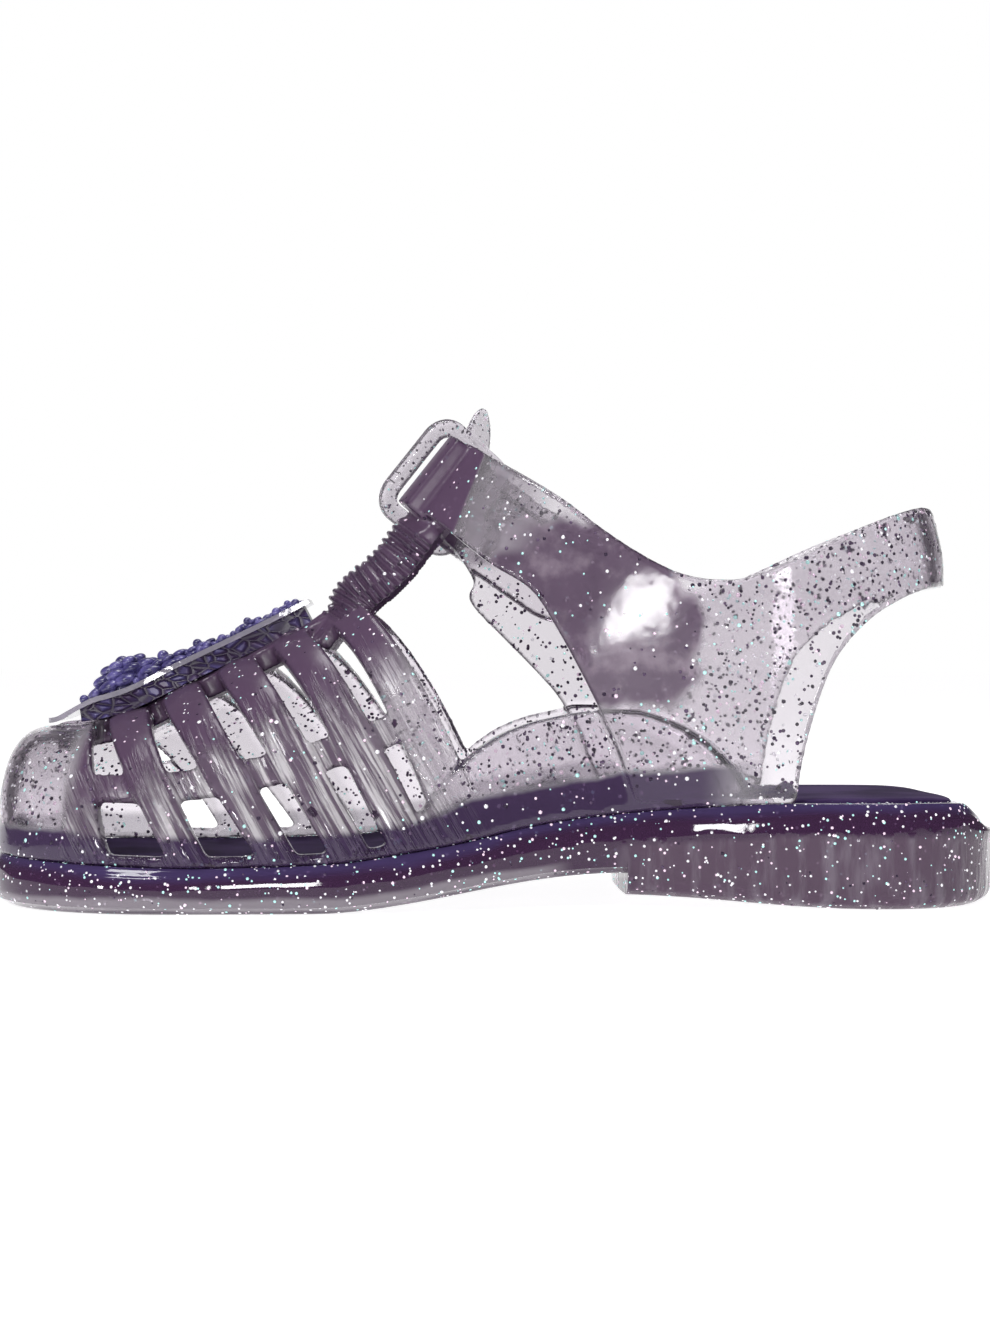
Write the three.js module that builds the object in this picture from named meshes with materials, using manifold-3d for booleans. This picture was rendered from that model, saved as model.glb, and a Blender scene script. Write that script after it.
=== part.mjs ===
// Child's jelly sandal, right shoe, moulded in clear glitter PVC. Millimetres, +Z up, toe towards -X, the inner
// side of the foot towards -Y. The origin is on the floor under the middle of the sole.
import * as THREE from "three";
import { mergeVertices } from "three/addons/utils/BufferGeometryUtils.js";
import Module from "manifold-3d";

const wasm = await Module();
wasm.setup();

// Driving sizes
const LENGTH = 155;
const BALL_WIDTH = 58;
const INSTEP_HEIGHT = 47;
const STRAP_HEIGHT = 68;
const HEEL_HEIGHT = 15.6;
const GAP = 0.3;

// Sole and insole
const SOLE_EDGE = 1.3;
const RIM_WIDTH = 2.7;
const RECESS_DEPTH = 2.6;
const WAIST_LIFT = 5.1;
const HEEL_ROUNDING = 6.5;
const HEEL_TUCK = 1.5;
const BLOCK_FRONT = 0.62;
const BREAST_BULGE = 2.2;
const BREAST_LIFT = 2;
const INSOLE_RISE = 0.5;
const INSOLE_EDGE = 0.5;
const STATIONS = 28;

// Upper
const WALL = 2.2;
const STRAP_RISE = 0.2;
const STRAP_SINK = 0.1;
const CROWN = 0.5;
const BAND_HEIGHT = 1.6;
const BAND_END = 0.785;
const BAR_WIDTH = 4.2;
const BAR_SINK = 0.6;
const BAR_WALL = 1.3;
const SPINE_WIDTH = 9;
const SPINE_RISE = 0.6;
const SPINE_CROWN = 0.9;
const SPINE_END = 0.365;
const HUMP_WALL = 2.7;
const HUMP_LEAN = 0.07;
const HUMP_INSET = 0.8;
const ANKLE_WIDTH = 45;

// T-bar, sleeve and ankle strap over the instep
const STRAP_WIDTH = 13.2;
const TBAR_WIDTH = 14;
const TBAR_DROP = 4.4;
const TBAR_THICKNESS = 2.6;
const TBAR_RIBS = 8;
const RIB_HEIGHT = 0.35;
const SLEEVE_LENGTH = 13;
const SLEEVE_DEPTH = 7.5;
const STRAP_END_LENGTH = 30;
const STRAP_END_TIP = 8;
const STRAP_END_RUN = 14;

// Buckle ring
const RING_WIDTH = 16.4;
const RING_LENGTH = 16.4;
const RING_BAR = 3;
const RING_FLATNESS = 0.8;
const RING_CORNER = 3.2;
const RING_STAND = 5.2;
const RING_SIDE = 3.4;
const RING_TILT = 50;
const TAB_LENGTH = 8;
const TAB_LEAN = 38;
const TAB_WIDTH = 5.6;
const TAB_THICKNESS = 1.8;

// Ornament on the middle of the vamp
const PLATE_WIDTH = 14;
const PLATE_THICKNESS = 0.8;
const BED_THICKNESS = 1.7;
const BED_MARGIN = 1.2;
const PLATE_FROM = 0.045;
const PLATE_LIFTED = 0.11;
const PLATE_TO = 0.322;
const BED_FROM = 0.085;
const BED_TO = 0.315;
const FLOWER_RADIUS = 6.4;
const FLOWER_HEIGHT = 4.4;
const PETALS = 6;
const PETAL_NOTCH = 0.22;

// Sections of the sole from toe to heel: place along the length, half width and sideways shift as shares of the
// ball width, and rim height as a share of the heel height.
const SOLE_SECTIONS = [
  { at: 0.0, half: 0.45, shift: -0.05, rim: 0.5 },
  { at: 0.1, half: 0.468, shift: -0.035, rim: 0.46 },
  { at: 0.22, half: 0.49, shift: -0.012, rim: 0.43 },
  { at: 0.34, half: 0.498, shift: 0.008, rim: 0.46 },
  { at: 0.45, half: 0.455, shift: 0.022, rim: 0.6 },
  { at: 0.56, half: 0.392, shift: 0.03, rim: 0.82 },
  { at: 0.66, half: 0.372, shift: 0.022, rim: 0.93 },
  { at: 0.8, half: 0.39, shift: 0.008, rim: 1.0 },
  { at: 0.92, half: 0.392, shift: 0.0, rim: 1.0 },
  { at: 1.0, half: 0.39, shift: 0.0, rim: 0.96 },
];
const TOE_ROUND = 0.2;
const HEEL_ROUND = 0.135;
const ROUND_POWER = 2.25;

// Rings round the sole's plate, from its lower edge over the rim into the recess: inset, what the rounded heel
// adds to it, how much the plate tucks in above the heel block, height as a mix of the underside, 1, and the rim,
// 0, a rise from there, and what the rounded heel takes off it.
const PLATE_RINGS = [
  { inset: 2.3, round: 0, tuck: 1, low: 1, rise: 0, drop: 0 },
  { inset: 0.5, round: 0, tuck: 1, low: 1, rise: 1.05, drop: 0 },
  { inset: 0, round: 0, tuck: 0, low: 0.5, rise: 0, drop: 0 },
  { inset: 0.35, round: 0.03, tuck: 0, low: 0, rise: -SOLE_EDGE, drop: 0.38 },
  { inset: 0.8, round: 0.2, tuck: 0, low: 0, rise: -0.5, drop: 0.2 },
  { inset: 1, round: 0.4, tuck: 0, low: 0, rise: -0.2, drop: 0.06 },
  { inset: SOLE_EDGE, round: 0.6, tuck: 0, low: 0, rise: 0, drop: 0 },
  { inset: SOLE_EDGE + RIM_WIDTH, round: 0.3, tuck: 0, low: 0, rise: 0, drop: 0 },
  { inset: SOLE_EDGE + RIM_WIDTH, round: 0.3, tuck: 0, low: 0, rise: -RECESS_DEPTH, drop: 0 },
];

// Rings round the heel block: inset, height, and how far it follows the underside that lifts towards the breast
const BLOCK_RINGS = [
  { inset: 2.1, rise: 0, lift: 1 },
  { inset: 0.65, rise: 1.05, lift: 1 },
  { inset: 0.2, rise: 3, lift: 1 },
  { inset: 0.2, rise: 10, lift: 0 },
];

// Straps of the cage, first to border: foot and spine places along the length, widths at both ends as shares of
// the ball width, how far the strap leans back early, and the height of the bar behind it as a share of a turn's
// sine.
const STRAPS = [
  { foot: 0.2176, spine: 0.126, low: 0.1, high: 0.1, lean: 0.2, bar: 0.51 },
  { foot: 0.302, spine: 0.178, low: 0.1, high: 0.1, lean: 0.2, bar: 0.475 },
  { foot: 0.37, spine: 0.232, low: 0.1, high: 0.097, lean: 0.22, bar: 0.465 },
  { foot: 0.425, spine: 0.283, low: 0.1, high: 0.092, lean: 0.3, bar: 0.475 },
  { foot: 0.477, spine: 0.349, low: 0.12, high: 0.08, lean: 0.42, bar: 0.49 },
];
const CAP_FOOT = 0.137;
const CAP_SPINE = 0.096;
const CAP_TIP_SPINE = 0.07;
const CAP_LEAN = 0.35;
const CAP_BAR = 0.53;

// Ridge of the vamp: place along the length and height as a share of the instep height.
const SPINE = [
  { at: 0.06, height: 0.565 },
  { at: 0.1, height: 0.583 },
  { at: 0.135, height: 0.614 },
  { at: 0.195, height: 0.71 },
  { at: 0.257, height: 0.81 },
  { at: 0.325, height: 0.925 },
  { at: 0.37, height: 1.01 },
];
const SECTION_ACROSS = 0.85;
const SECTION_UP = 0.9;
const TOE_SECTION = 0.6;
const TOE_REACH = 1;

// Outer face of the T-bar: place along the length and height as a share of the strap height.
const TBAR = [
  { at: 0.312, height: 0.59 },
  { at: 0.332, height: 0.672 },
  { at: 0.3458, height: 0.7235 },
  { at: 0.3768, height: 0.784 },
  { at: 0.398, height: 0.8456 },
  { at: 0.414, height: 0.89 },
];

// Top of the raised side walls at the waist: place along the length, height as a share of the instep height.
const HUMP = [
  { at: 0.43, height: 0.3 },
  { at: 0.481, height: 0.483 },
  { at: 0.516, height: 0.557 },
  { at: 0.55, height: 0.596 },
  { at: 0.598, height: 0.621 },
  { at: 0.635, height: 0.617 },
  { at: 0.664, height: 0.589 },
  { at: 0.692, height: 0.54 },
  { at: 0.715, height: 0.472 },
  { at: 0.73, height: 0.41 },
  { at: 0.739, height: 0.36 },
];

// Ankle wall: half width as a share of the ankle width, and the heel's place as a share of the length, by height.
const ANKLE_LEVELS = [
  { height: 0.15, half: 0.445, heel: 0.93 },
  { height: 0.4, half: 0.475, heel: 0.945 },
  { height: 0.62, half: 0.49, heel: 0.953 },
  { height: 0.75, half: 0.492, heel: 0.953 },
  { height: 0.88, half: 0.488, heel: 0.942 },
  { height: 1.0, half: 0.48, heel: 0.93 },
  { height: 1.2, half: 0.47, heel: 0.92 },
];
const ANKLE_MIDDLE = 0.758;
const INSTEP_PLACE = 0.4412;
const INSTEP_SLOPE = 51.5;
const INSTEP_CENTRE = 0.963;
const HEEL_POWER = 2.3;

// Side views of the ankle strap and panels: place along the length, height as a share of the strap height.
const TOP_EDGE = [
  { at: 0.495, height: 1.0 },
  { at: 0.563, height: 0.899 },
  { at: 0.6, height: 0.832 },
  { at: 0.638, height: 0.773 },
  { at: 0.6755, height: 0.73 },
  { at: 0.7135, height: 0.715 },
  { at: 0.7516, height: 0.729 },
  { at: 0.84, height: 0.8207 },
  { at: 0.9, height: 0.872 },
  { at: 0.928, height: 0.884 },
  { at: 0.942, height: 0.868 },
  { at: 0.955, height: 0.82 },
  { at: 1.02, height: 0.78 },
];
const LOW_EDGE = [
  { at: 1.02, height: 0.715 },
  { at: 0.955, height: 0.71 },
  { at: 0.913, height: 0.694 },
  { at: 0.872, height: 0.651 },
  { at: 0.845, height: 0.601 },
  { at: 0.827, height: 0.551 },
  { at: 0.8135, height: 0.487 },
  { at: 0.8, height: 0.39 },
  { at: 0.7916, height: 0.303 },
  { at: 0.786, height: 0.2 },
];
const INNER_FRONT_EDGE = [
  { at: 0.64, height: 0.2 },
  { at: 0.62, height: 0.33 },
  { at: 0.599, height: 0.437 },
  { at: 0.581, height: 0.519 },
  { at: 0.557, height: 0.618 },
  { at: 0.534, height: 0.696 },
  { at: 0.495, height: 0.754 },
  { at: 0.459, height: 0.822 },
];
const OUTER_FRONT_EDGE = [
  { at: 0.62, height: 0.2 },
  { at: 0.595, height: 0.34 },
  { at: 0.574, height: 0.434 },
  { at: 0.551, height: 0.5 },
  { at: 0.508, height: 0.6 },
  { at: 0.48, height: 0.665 },
  { at: 0.472, height: 0.7 },
  { at: 0.477, height: 0.735 },
  { at: 0.459, height: 0.805 },
];
const STRAP_END = { at: 0.535, height: 0.79, fall: 34.5 };

// Flowers of the ornament: place along the length, size and height as shares of the largest.
const FLOWERS = [
  { name: "ornament_flower_front", at: 0.136, size: 1.15, height: 1.1 },
  { name: "ornament_flower_middle", at: 0.212, size: 0.625, height: 0.55 },
  { name: "ornament_flower_rear", at: 0.262, size: 0.5, height: 0.45 },
  { name: "ornament_flower_last", at: 0.302, size: 0.4, height: 0.34 },
];

const PVC = { color: 0xc9bfca, roughness: 0.12, metalness: 0 };
const COLOURS = {
  sole: { color: 0x5f3f63, roughness: 0.2, metalness: 0 },
  upper: PVC,
  insole: { color: 0x574684, roughness: 0.35, metalness: 0 },
  buckle_ring: { color: 0xd8d2dc, roughness: 0.1, metalness: 0 },
  ornament_plate: { color: 0xd9d6ea, roughness: 0.1, metalness: 0 },
  ornament: { color: 0x5f55a0, roughness: 0.3, metalness: 0 },
};

const INNER = 1;
const OUTER = -1;

const along = (share) => (share - 0.5) * LENGTH;
const clamp = THREE.MathUtils.clamp;
const lerp = THREE.MathUtils.lerp;

// Smooth value of one column of a table at a place, held level past both ends.
function column(table, name, at, key = "at") {
  const rows = table.length;
  if (at <= table[0][key]) return table[0][name];
  if (at >= table[rows - 1][key]) return table[rows - 1][name];
  let i = 0;
  while (at > table[i + 1][key]) i += 1;
  const span = (k) => table[k + 1][key] - table[k][key];
  const rise = (k) => (table[k + 1][name] - table[k][name]) / span(k);
  const slope = (k) => {
    if (k === 0) return rise(0);
    if (k === rows - 1) return rise(rows - 2);
    if (rise(k - 1) * rise(k) <= 0) return 0;
    return 2 / (1 / rise(k - 1) + 1 / rise(k));
  };
  const t = (at - table[i][key]) / span(i);
  const a = table[i][name];
  const b = table[i + 1][name];
  const bend = (2 * t - 3) * t * t + 1;
  const start = (t - 2) * t * t + t;
  const end = (t - 1) * t * t;
  return a * bend + b * (1 - bend) + span(i) * (slope(i) * start + slope(i + 1) * end);
}

// A solid between two sheets of points over a grid, closed along its edges, or round in its first direction.
function slab(rows, cols, outer, inner, round = false) {
  const lines = round ? rows : rows + 1;
  const points = [];
  for (const sheet of [outer, inner]) {
    for (let i = 0; i < lines; i += 1) {
      for (let j = 0; j <= cols; j += 1) points.push(sheet(i / rows, j / cols));
    }
  }
  const half = lines * (cols + 1);
  const id = (side, i, j) => side * half + (i % lines) * (cols + 1) + j;
  const faces = [];
  const quad = (a, b, c, d) => faces.push([a, b, c], [a, c, d]);
  for (let i = 0; i < rows; i += 1) {
    for (let j = 0; j < cols; j += 1) {
      quad(id(0, i, j), id(0, i + 1, j), id(0, i + 1, j + 1), id(0, i, j + 1));
      quad(id(1, i, j), id(1, i, j + 1), id(1, i + 1, j + 1), id(1, i + 1, j));
    }
    quad(id(0, i, 0), id(1, i, 0), id(1, i + 1, 0), id(0, i + 1, 0));
    quad(id(0, i, cols), id(0, i + 1, cols), id(1, i + 1, cols), id(1, i, cols));
  }
  if (!round) {
    for (let j = 0; j < cols; j += 1) {
      quad(id(0, 0, j), id(0, 0, j + 1), id(1, 0, j + 1), id(1, 0, j));
      quad(id(0, rows, j), id(1, rows, j), id(1, rows, j + 1), id(0, rows, j + 1));
    }
  }
  return fromFaces(points, faces);
}

// A solid from points and triangles, turned so that its faces point out.
function fromFaces(points, faces) {
  const geometry = new THREE.BufferGeometry();
  geometry.setAttribute("position", new THREE.Float32BufferAttribute(points.flatMap((p) => [p.x, p.y, p.z]), 3));
  geometry.setIndex(faces.flat());
  return solid(geometry);
}

function solid(source) {
  const geometry = source.clone();
  geometry.deleteAttribute("normal");
  geometry.deleteAttribute("uv");
  const merged = mergeVertices(geometry, 1e-4);
  const at = merged.getAttribute("position");
  const index = Array.from(merged.getIndex().array);
  const triangles = [];
  let volume = 0;
  const corner = (k) => new THREE.Vector3().fromBufferAttribute(at, k);
  for (let i = 0; i < index.length; i += 3) {
    const [a, b, c] = index.slice(i, i + 3);
    if (a === b || b === c || a === c) continue;
    triangles.push([a, b, c]);
    volume += corner(a).dot(corner(b).cross(corner(c)));
  }
  const turned = volume < 0 ? triangles.map(([a, b, c]) => [a, c, b]) : triangles;
  return new wasm.Manifold(
    new wasm.Mesh({
      numProp: 3,
      vertProperties: new Float32Array(at.array),
      triVerts: new Uint32Array(turned.flat()),
    })
  );
}

function joined(solids) {
  return solids.reduce((whole, next) => whole.add(next));
}

// Outline of the sole seen from above. The angle runs from the toe tip, 0, along the inner side, to the heel, PI,
// and back along the outer side to 2 PI.
function outline(angle, inset) {
  const flat = (a) => {
    const u = (1 - Math.cos(a)) / 2;
    const side = Math.sin(a) >= 0 ? -1 : 1;
    const toe = clamp(1 - u / TOE_ROUND, 0, 1);
    const heel = clamp(1 - (1 - u) / HEEL_ROUND, 0, 1);
    const ends = (1 - toe ** ROUND_POWER) ** (1 / ROUND_POWER) * (1 - heel ** ROUND_POWER) ** (1 / ROUND_POWER);
    const half = column(SOLE_SECTIONS, "half", u) * ends;
    const middle = column(SOLE_SECTIONS, "shift", u);
    return new THREE.Vector2(along(u), (middle + side * half) * BALL_WIDTH);
  };
  const step = 0.012;
  const here = flat(angle);
  const tangent = flat(angle + step).sub(flat(angle - step)).normalize();
  return new THREE.Vector2(here.x - tangent.y * inset, here.y + tangent.x * inset);
}

const shareOf = (angle) => (1 - Math.cos(angle)) / 2;
const angleOf = (share) => Math.acos(1 - 2 * share);
const rimHeight = (share) => column(SOLE_SECTIONS, "rim", share) * HEEL_HEIGHT;
const heelRounding = (share) => HEEL_ROUNDING * smooth(0.95, 1.0, share);

function smooth(low, high, value) {
  return THREE.MathUtils.smoothstep(value, low, high);
}

// A solid stacked from rings that follow the outline. Each ring gives its inset and height by place along the sole.
function ringStack(rings, share0, share1) {
  const first = angleOf(share0);
  const last = angleOf(share1);
  const points = [];
  const count = 2 * STATIONS;
  for (const ring of rings) {
    for (let k = 0; k < count; k += 1) {
      const t = k <= STATIONS ? k / STATIONS : 2 - k / STATIONS;
      const a = lerp(first, last, t);
      const angle = k <= STATIONS ? a : 2 * Math.PI - a;
      const share = shareOf(angle);
      const p = outline(angle, ring.inset(share));
      points.push(new THREE.Vector3(p.x, p.y, ring.height(share)));
    }
  }
  const faces = [];
  const id = (ring, k) => ring * count + ((k + count) % count);
  for (let r = 0; r + 1 < rings.length; r += 1) {
    for (let k = 0; k < count; k += 1) {
      faces.push([id(r, k), id(r, k + 1), id(r + 1, k + 1)], [id(r, k), id(r + 1, k + 1), id(r + 1, k)]);
    }
  }
  for (const [ring, flip] of [[0, true], [rings.length - 1, false]]) {
    for (let k = 0; k < STATIONS; k += 1) {
      const quad = [id(ring, k), id(ring, k + 1), id(ring, -k - 1), id(ring, -k)];
      const pair = [[quad[0], quad[1], quad[2]], [quad[0], quad[2], quad[3]]];
      for (const face of pair) {
        if (new Set(face).size === 3) faces.push(flip ? [...face].reverse() : face);
      }
    }
  }
  return fromFaces(points, faces);
}

// Sole: a full-length plate with a raised waist, and the heel block under it
function soleSolid() {
  const under = (share) => WAIST_LIFT * smooth(0.33, 0.62, share);
  const tuck = (share) => HEEL_TUCK * smooth(0.66, 0.7, share);
  const plate = PLATE_RINGS.map((row) => ({
    inset: (s) => row.inset + row.round * heelRounding(s) + row.tuck * tuck(s),
    height: (s) => lerp(rimHeight(s), under(s), row.low) + row.rise - row.drop * heelRounding(s),
  }));
  const lift = (share) => BREAST_LIFT * (1 - smooth(0.6, 0.86, share));
  const block = BLOCK_RINGS.map((row) => ({
    inset: () => row.inset,
    height: (s) => row.rise + row.lift * lift(s),
  }));
  const breastX = along(BLOCK_FRONT) + BREAST_BULGE;
  const shape = new THREE.Shape();
  shape.moveTo(LENGTH, -BALL_WIDTH);
  shape.lineTo(LENGTH, BALL_WIDTH);
  shape.lineTo(breastX, BALL_WIDTH / 2);
  shape.quadraticCurveTo(breastX - 2 * BREAST_BULGE, 0, breastX, -BALL_WIDTH / 2);
  const cutter = solid(new THREE.ExtrudeGeometry(shape, { depth: HEEL_HEIGHT, bevelEnabled: false, curveSegments: 8 }));
  return ringStack(plate, 0, 1).add(ringStack(block, BLOCK_FRONT - 0.03, 1).intersect(cutter));
}

function insoleSolid() {
  const edge = (s) => SOLE_EDGE + RIM_WIDTH + GAP + 0.3 * heelRounding(s);
  const low = (s) => rimHeight(s) - RECESS_DEPTH + GAP;
  const top = (s) => rimHeight(s) + INSOLE_RISE * smooth(0.6, 0.85, s);
  const rings = [
    { inset: edge, height: low },
    { inset: edge, height: (s) => top(s) - INSOLE_EDGE },
    { inset: (s) => edge(s) + INSOLE_EDGE, height: top },
  ];
  return ringStack(rings, 0, 1);
}

// Outer face of the vamp. The angle follows the sole's outline, with minus for the outer side, and the turn runs
// from the sole, 0, over the ridge, PI / 2.
const VAMP_ROWS = [
  { foot: 0, spine: CAP_TIP_SPINE, lean: 1, bar: CAP_BAR },
  { foot: CAP_FOOT, spine: CAP_SPINE, lean: CAP_LEAN, bar: CAP_BAR },
  ...STRAPS,
].map((row) => ({ ...row, key: angleOf(row.foot) }));
const CAP_ANGLE = angleOf(CAP_FOOT);
const RIDGE = Math.PI / 2;
const PAST_RIDGE = 0.06;

function vampPoint(angle, turn) {
  const place = column(VAMP_ROWS, "spine", Math.abs(angle), "key");
  const lean = column(VAMP_ROWS, "lean", Math.abs(angle), "key");
  const toe = 1 - smooth(0, CAP_ANGLE, Math.abs(angle));
  const foot = outline(angle, SOLE_EDGE - TOE_REACH * toe);
  const footZ = rimHeight(shareOf(angle)) + GAP;
  const ridgeX = along(place);
  const ridgeZ = column(SPINE, "height", place) * INSTEP_HEIGHT;
  const level = Math.abs(Math.cos(turn)) ** lerp(SECTION_ACROSS, TOE_SECTION, toe);
  const across = Math.sign(Math.cos(turn)) * level;
  const up = Math.sin(turn) ** lerp(SECTION_UP, TOE_SECTION, toe);
  const back = lean * (1 - across) + (1 - lean) * up;
  return new THREE.Vector3(
    foot.x + (ridgeX - foot.x) * back,
    foot.y * across,
    footZ + (ridgeZ - footZ) * up
  );
}

function vampFace(angle, turn, offset) {
  const step = 0.01;
  const sideways = vampPoint(angle + step, turn).sub(vampPoint(angle - step, turn));
  const up = vampPoint(angle, turn + step).sub(vampPoint(angle, Math.max(turn - step, 0)));
  const normal = up.cross(sideways).normalize();
  const point = vampPoint(angle, turn);
  if (normal.dot(point.clone().sub(new THREE.Vector3(point.x + 12, 0, 8))) < 0) normal.negate();
  return point.addScaledVector(normal, offset);
}

// The closed toe cap, in two halves that meet at the toe and at the ridge
function capSolid() {
  const half = (side) => {
    const sheet = (offset) => (u, v) => {
      return vampFace(side * lerp(-0.01, CAP_ANGLE, u), v * (RIDGE + PAST_RIDGE), offset);
    };
    return slab(8, 8, sheet(0), sheet(-WALL));
  };
  return half(INNER).add(half(OUTER));
}

// One strap of the cage, crowned across, from the rim to the ridge
function strapSolid(strap, side) {
  const middle = side * angleOf(strap.foot);
  const sheet = (base, crown) => (u, v) => {
    const turn = u * (RIDGE + PAST_RIDGE);
    const width = lerp(strap.low, strap.high, u) * BALL_WIDTH;
    const step = 0.02;
    const near = vampPoint(middle + step, turn).sub(vampPoint(middle - step, turn));
    const perAngle = Math.max(Math.abs(near.x) / (2 * step), 8);
    const shift = (v - 0.5) * (width / perAngle);
    return vampFace(middle + shift, turn, base + crown * (1 - (2 * v - 1) ** 2));
  };
  return slab(8, 2, sheet(STRAP_RISE, CROWN), sheet(-WALL - STRAP_SINK, 0));
}

// The lengthwise bar that runs behind the straps
function barSolid(side) {
  const start = CAP_ANGLE * 0.9;
  const end = angleOf(STRAPS[STRAPS.length - 1].foot);
  const sheet = (offset) => (u, v) => {
    const angle = lerp(start, end, u);
    const place = column(VAMP_ROWS, "spine", angle, "key");
    const rise = column(SPINE, "height", place) * INSTEP_HEIGHT - rimHeight(shareOf(angle));
    const height = column(VAMP_ROWS, "bar", angle, "key") + ((v - 0.5) * BAR_WIDTH) / rise;
    return vampFace(side * angle, Math.asin(height), offset);
  };
  return slab(12, 1, sheet(-BAR_SINK), sheet(-BAR_SINK - BAR_WALL));
}

// Ridge of the vamp, under the ornament
function spineSolid() {
  const sheet = (base, crown) => (u, v) => {
    const place = lerp(SPINE[0].at, SPINE_END, u);
    const width = SPINE_WIDTH * lerp(0.6, 1, smooth(0.08, 0.14, place));
    const y = (v - 0.5) * width;
    const z = column(SPINE, "height", place) * INSTEP_HEIGHT;
    return new THREE.Vector3(along(place), y, z + base - crown * (2 * v - 1) ** 2);
  };
  return slab(12, 2, sheet(SPINE_RISE, SPINE_CROWN), sheet(-WALL - SPINE_CROWN, SPINE_CROWN));
}

// Low band round the foot of the upper, which stands on the rim of the sole
function bandSolid() {
  const end = angleOf(BAND_END);
  const sheet = (inset) => (u, v) => {
    const angle = lerp(-end, end, u);
    const toe = 1 - smooth(0, CAP_ANGLE, Math.abs(angle));
    const p = outline(angle, inset - TOE_REACH * toe);
    return new THREE.Vector3(p.x, p.y, rimHeight(shareOf(angle)) + GAP + v * BAND_HEIGHT);
  };
  return slab(38, 1, sheet(SOLE_EDGE + 0.1), sheet(SOLE_EDGE + WALL + 0.2));
}

function humpSolid(side) {
  const sheet = (extra) => (u, v) => {
    const share = lerp(HUMP[0].at, HUMP[HUMP.length - 1].at, u);
    const foot = rimHeight(share) + GAP;
    const top = Math.max(column(HUMP, "height", share) * INSTEP_HEIGHT, foot + BAND_HEIGHT);
    const z = lerp(foot, top, v);
    const p = outline(side * angleOf(share), HUMP_INSET + extra + HUMP_LEAN * (z - foot));
    return new THREE.Vector3(p.x, p.y, z);
  };
  return slab(12, 2, sheet(0), sheet(HUMP_WALL));
}

// Outer face of the ankle wall at a height and a turn, from the middle of the heel, 0, over the inner side to the
// instep, PI, and back over the outer side.
const slope = THREE.MathUtils.degToRad(INSTEP_SLOPE);
const STRAP_UP = new THREE.Vector3(Math.cos(slope), 0, Math.sin(slope));
const STRAP_OUT = new THREE.Vector3(-Math.sin(slope), 0, Math.cos(slope));
const INSTEP = new THREE.Vector3(along(INSTEP_PLACE), 0, INSTEP_CENTRE * STRAP_HEIGHT);

function ankleHalf(z) {
  return column(ANKLE_LEVELS, "half", z / STRAP_HEIGHT, "height") * ANKLE_WIDTH;
}

function anklePoint(turn, z) {
  const half = ankleHalf(z);
  const middle = along(ANKLE_MIDDLE);
  const heel = along(column(ANKLE_LEVELS, "heel", z / STRAP_HEIGHT, "height"));
  const front = INSTEP.x + (z - INSTEP.z) / Math.tan(slope);
  const c = Math.cos(turn);
  const s = Math.sin(turn);
  if (c <= 0) return new THREE.Vector3(middle + (middle - front) * c, -half * s, z);
  const power = 2 / HEEL_POWER;
  return new THREE.Vector3(middle + (heel - middle) * c ** power, -half * Math.sign(s) * Math.abs(s) ** power, z);
}

function ankleFace(turn, z, offset) {
  const round = anklePoint(turn + 0.01, z).sub(anklePoint(turn - 0.01, z));
  const up = anklePoint(turn, z + 0.5).sub(anklePoint(turn, z - 0.5));
  const normal = round.cross(up).normalize();
  const point = anklePoint(turn, z);
  if (normal.dot(new THREE.Vector3(point.x - along(0.7), point.y, 0)) < 0) normal.negate();
  return point.addScaledVector(normal, offset);
}

// The ankle wall's turn that a side view's place and height give
function ankleTurn(x, z, side) {
  const middle = along(ANKLE_MIDDLE);
  const front = INSTEP.x + (z - INSTEP.z) / Math.tan(slope);
  const heel = along(column(ANKLE_LEVELS, "heel", z / STRAP_HEIGHT, "height"));
  const share = x <= middle ? (x - middle) / (middle - front) : ((x - middle) / (heel - middle)) ** (HEEL_POWER / 2);
  return side * Math.acos(clamp(share, -1, 1));
}

function sideCutter(frontEdge, from, to) {
  const top = TOP_EDGE.map((row) => new THREE.Vector2(along(row.at), row.height * STRAP_HEIGHT));
  const low = LOW_EDGE.map((row) => new THREE.Vector2(along(row.at), row.height * STRAP_HEIGHT));
  const front = frontEdge.map((row) => new THREE.Vector2(along(row.at), row.height * STRAP_HEIGHT));
  const reach = 16;
  const past = (p) => new THREE.Vector2(p.x + STRAP_OUT.x * reach, p.y + STRAP_OUT.z * reach);
  const shape = new THREE.Shape([
    past(top[0]),
    ...new THREE.SplineCurve(top).getPoints(18),
    ...new THREE.SplineCurve(low).getPoints(16),
    ...new THREE.SplineCurve(front).getPoints(14),
    past(front[front.length - 1]),
  ]);
  const geometry = new THREE.ExtrudeGeometry(shape, { depth: to - from, bevelEnabled: false });
  geometry.rotateX(Math.PI / 2);
  geometry.translate(0, to, 0);
  return solid(geometry);
}

function ankleSolid() {
  const low = rimHeight(0.78) + GAP;
  const high = STRAP_HEIGHT * 1.17;
  const sheet = (offset) => (u, v) => ankleFace(u * 2 * Math.PI + 0.0001, lerp(low, high, v), offset);
  const wall = slab(44, 5, sheet(0), sheet(-WALL), true);
  const inner = sideCutter(INNER_FRONT_EDGE, -BALL_WIDTH, 1);
  const outer = sideCutter(OUTER_FRONT_EDGE, -1, BALL_WIDTH);
  return wall.intersect(inner.add(outer));
}

// A point near the instep: sideways, up along the strap's width, and out from the middle of the strap
function instepPoint(y, w, out) {
  const half = ankleHalf(INSTEP.z);
  const depth = along(ANKLE_MIDDLE) - INSTEP.x;
  const fall = depth * (1 - Math.sqrt(1 - (y / half) ** 2)) * Math.sin(slope);
  return INSTEP.clone().addScaledVector(STRAP_UP, w).addScaledVector(STRAP_OUT, out - WALL / 2 - fall).setY(y);
}

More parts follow.
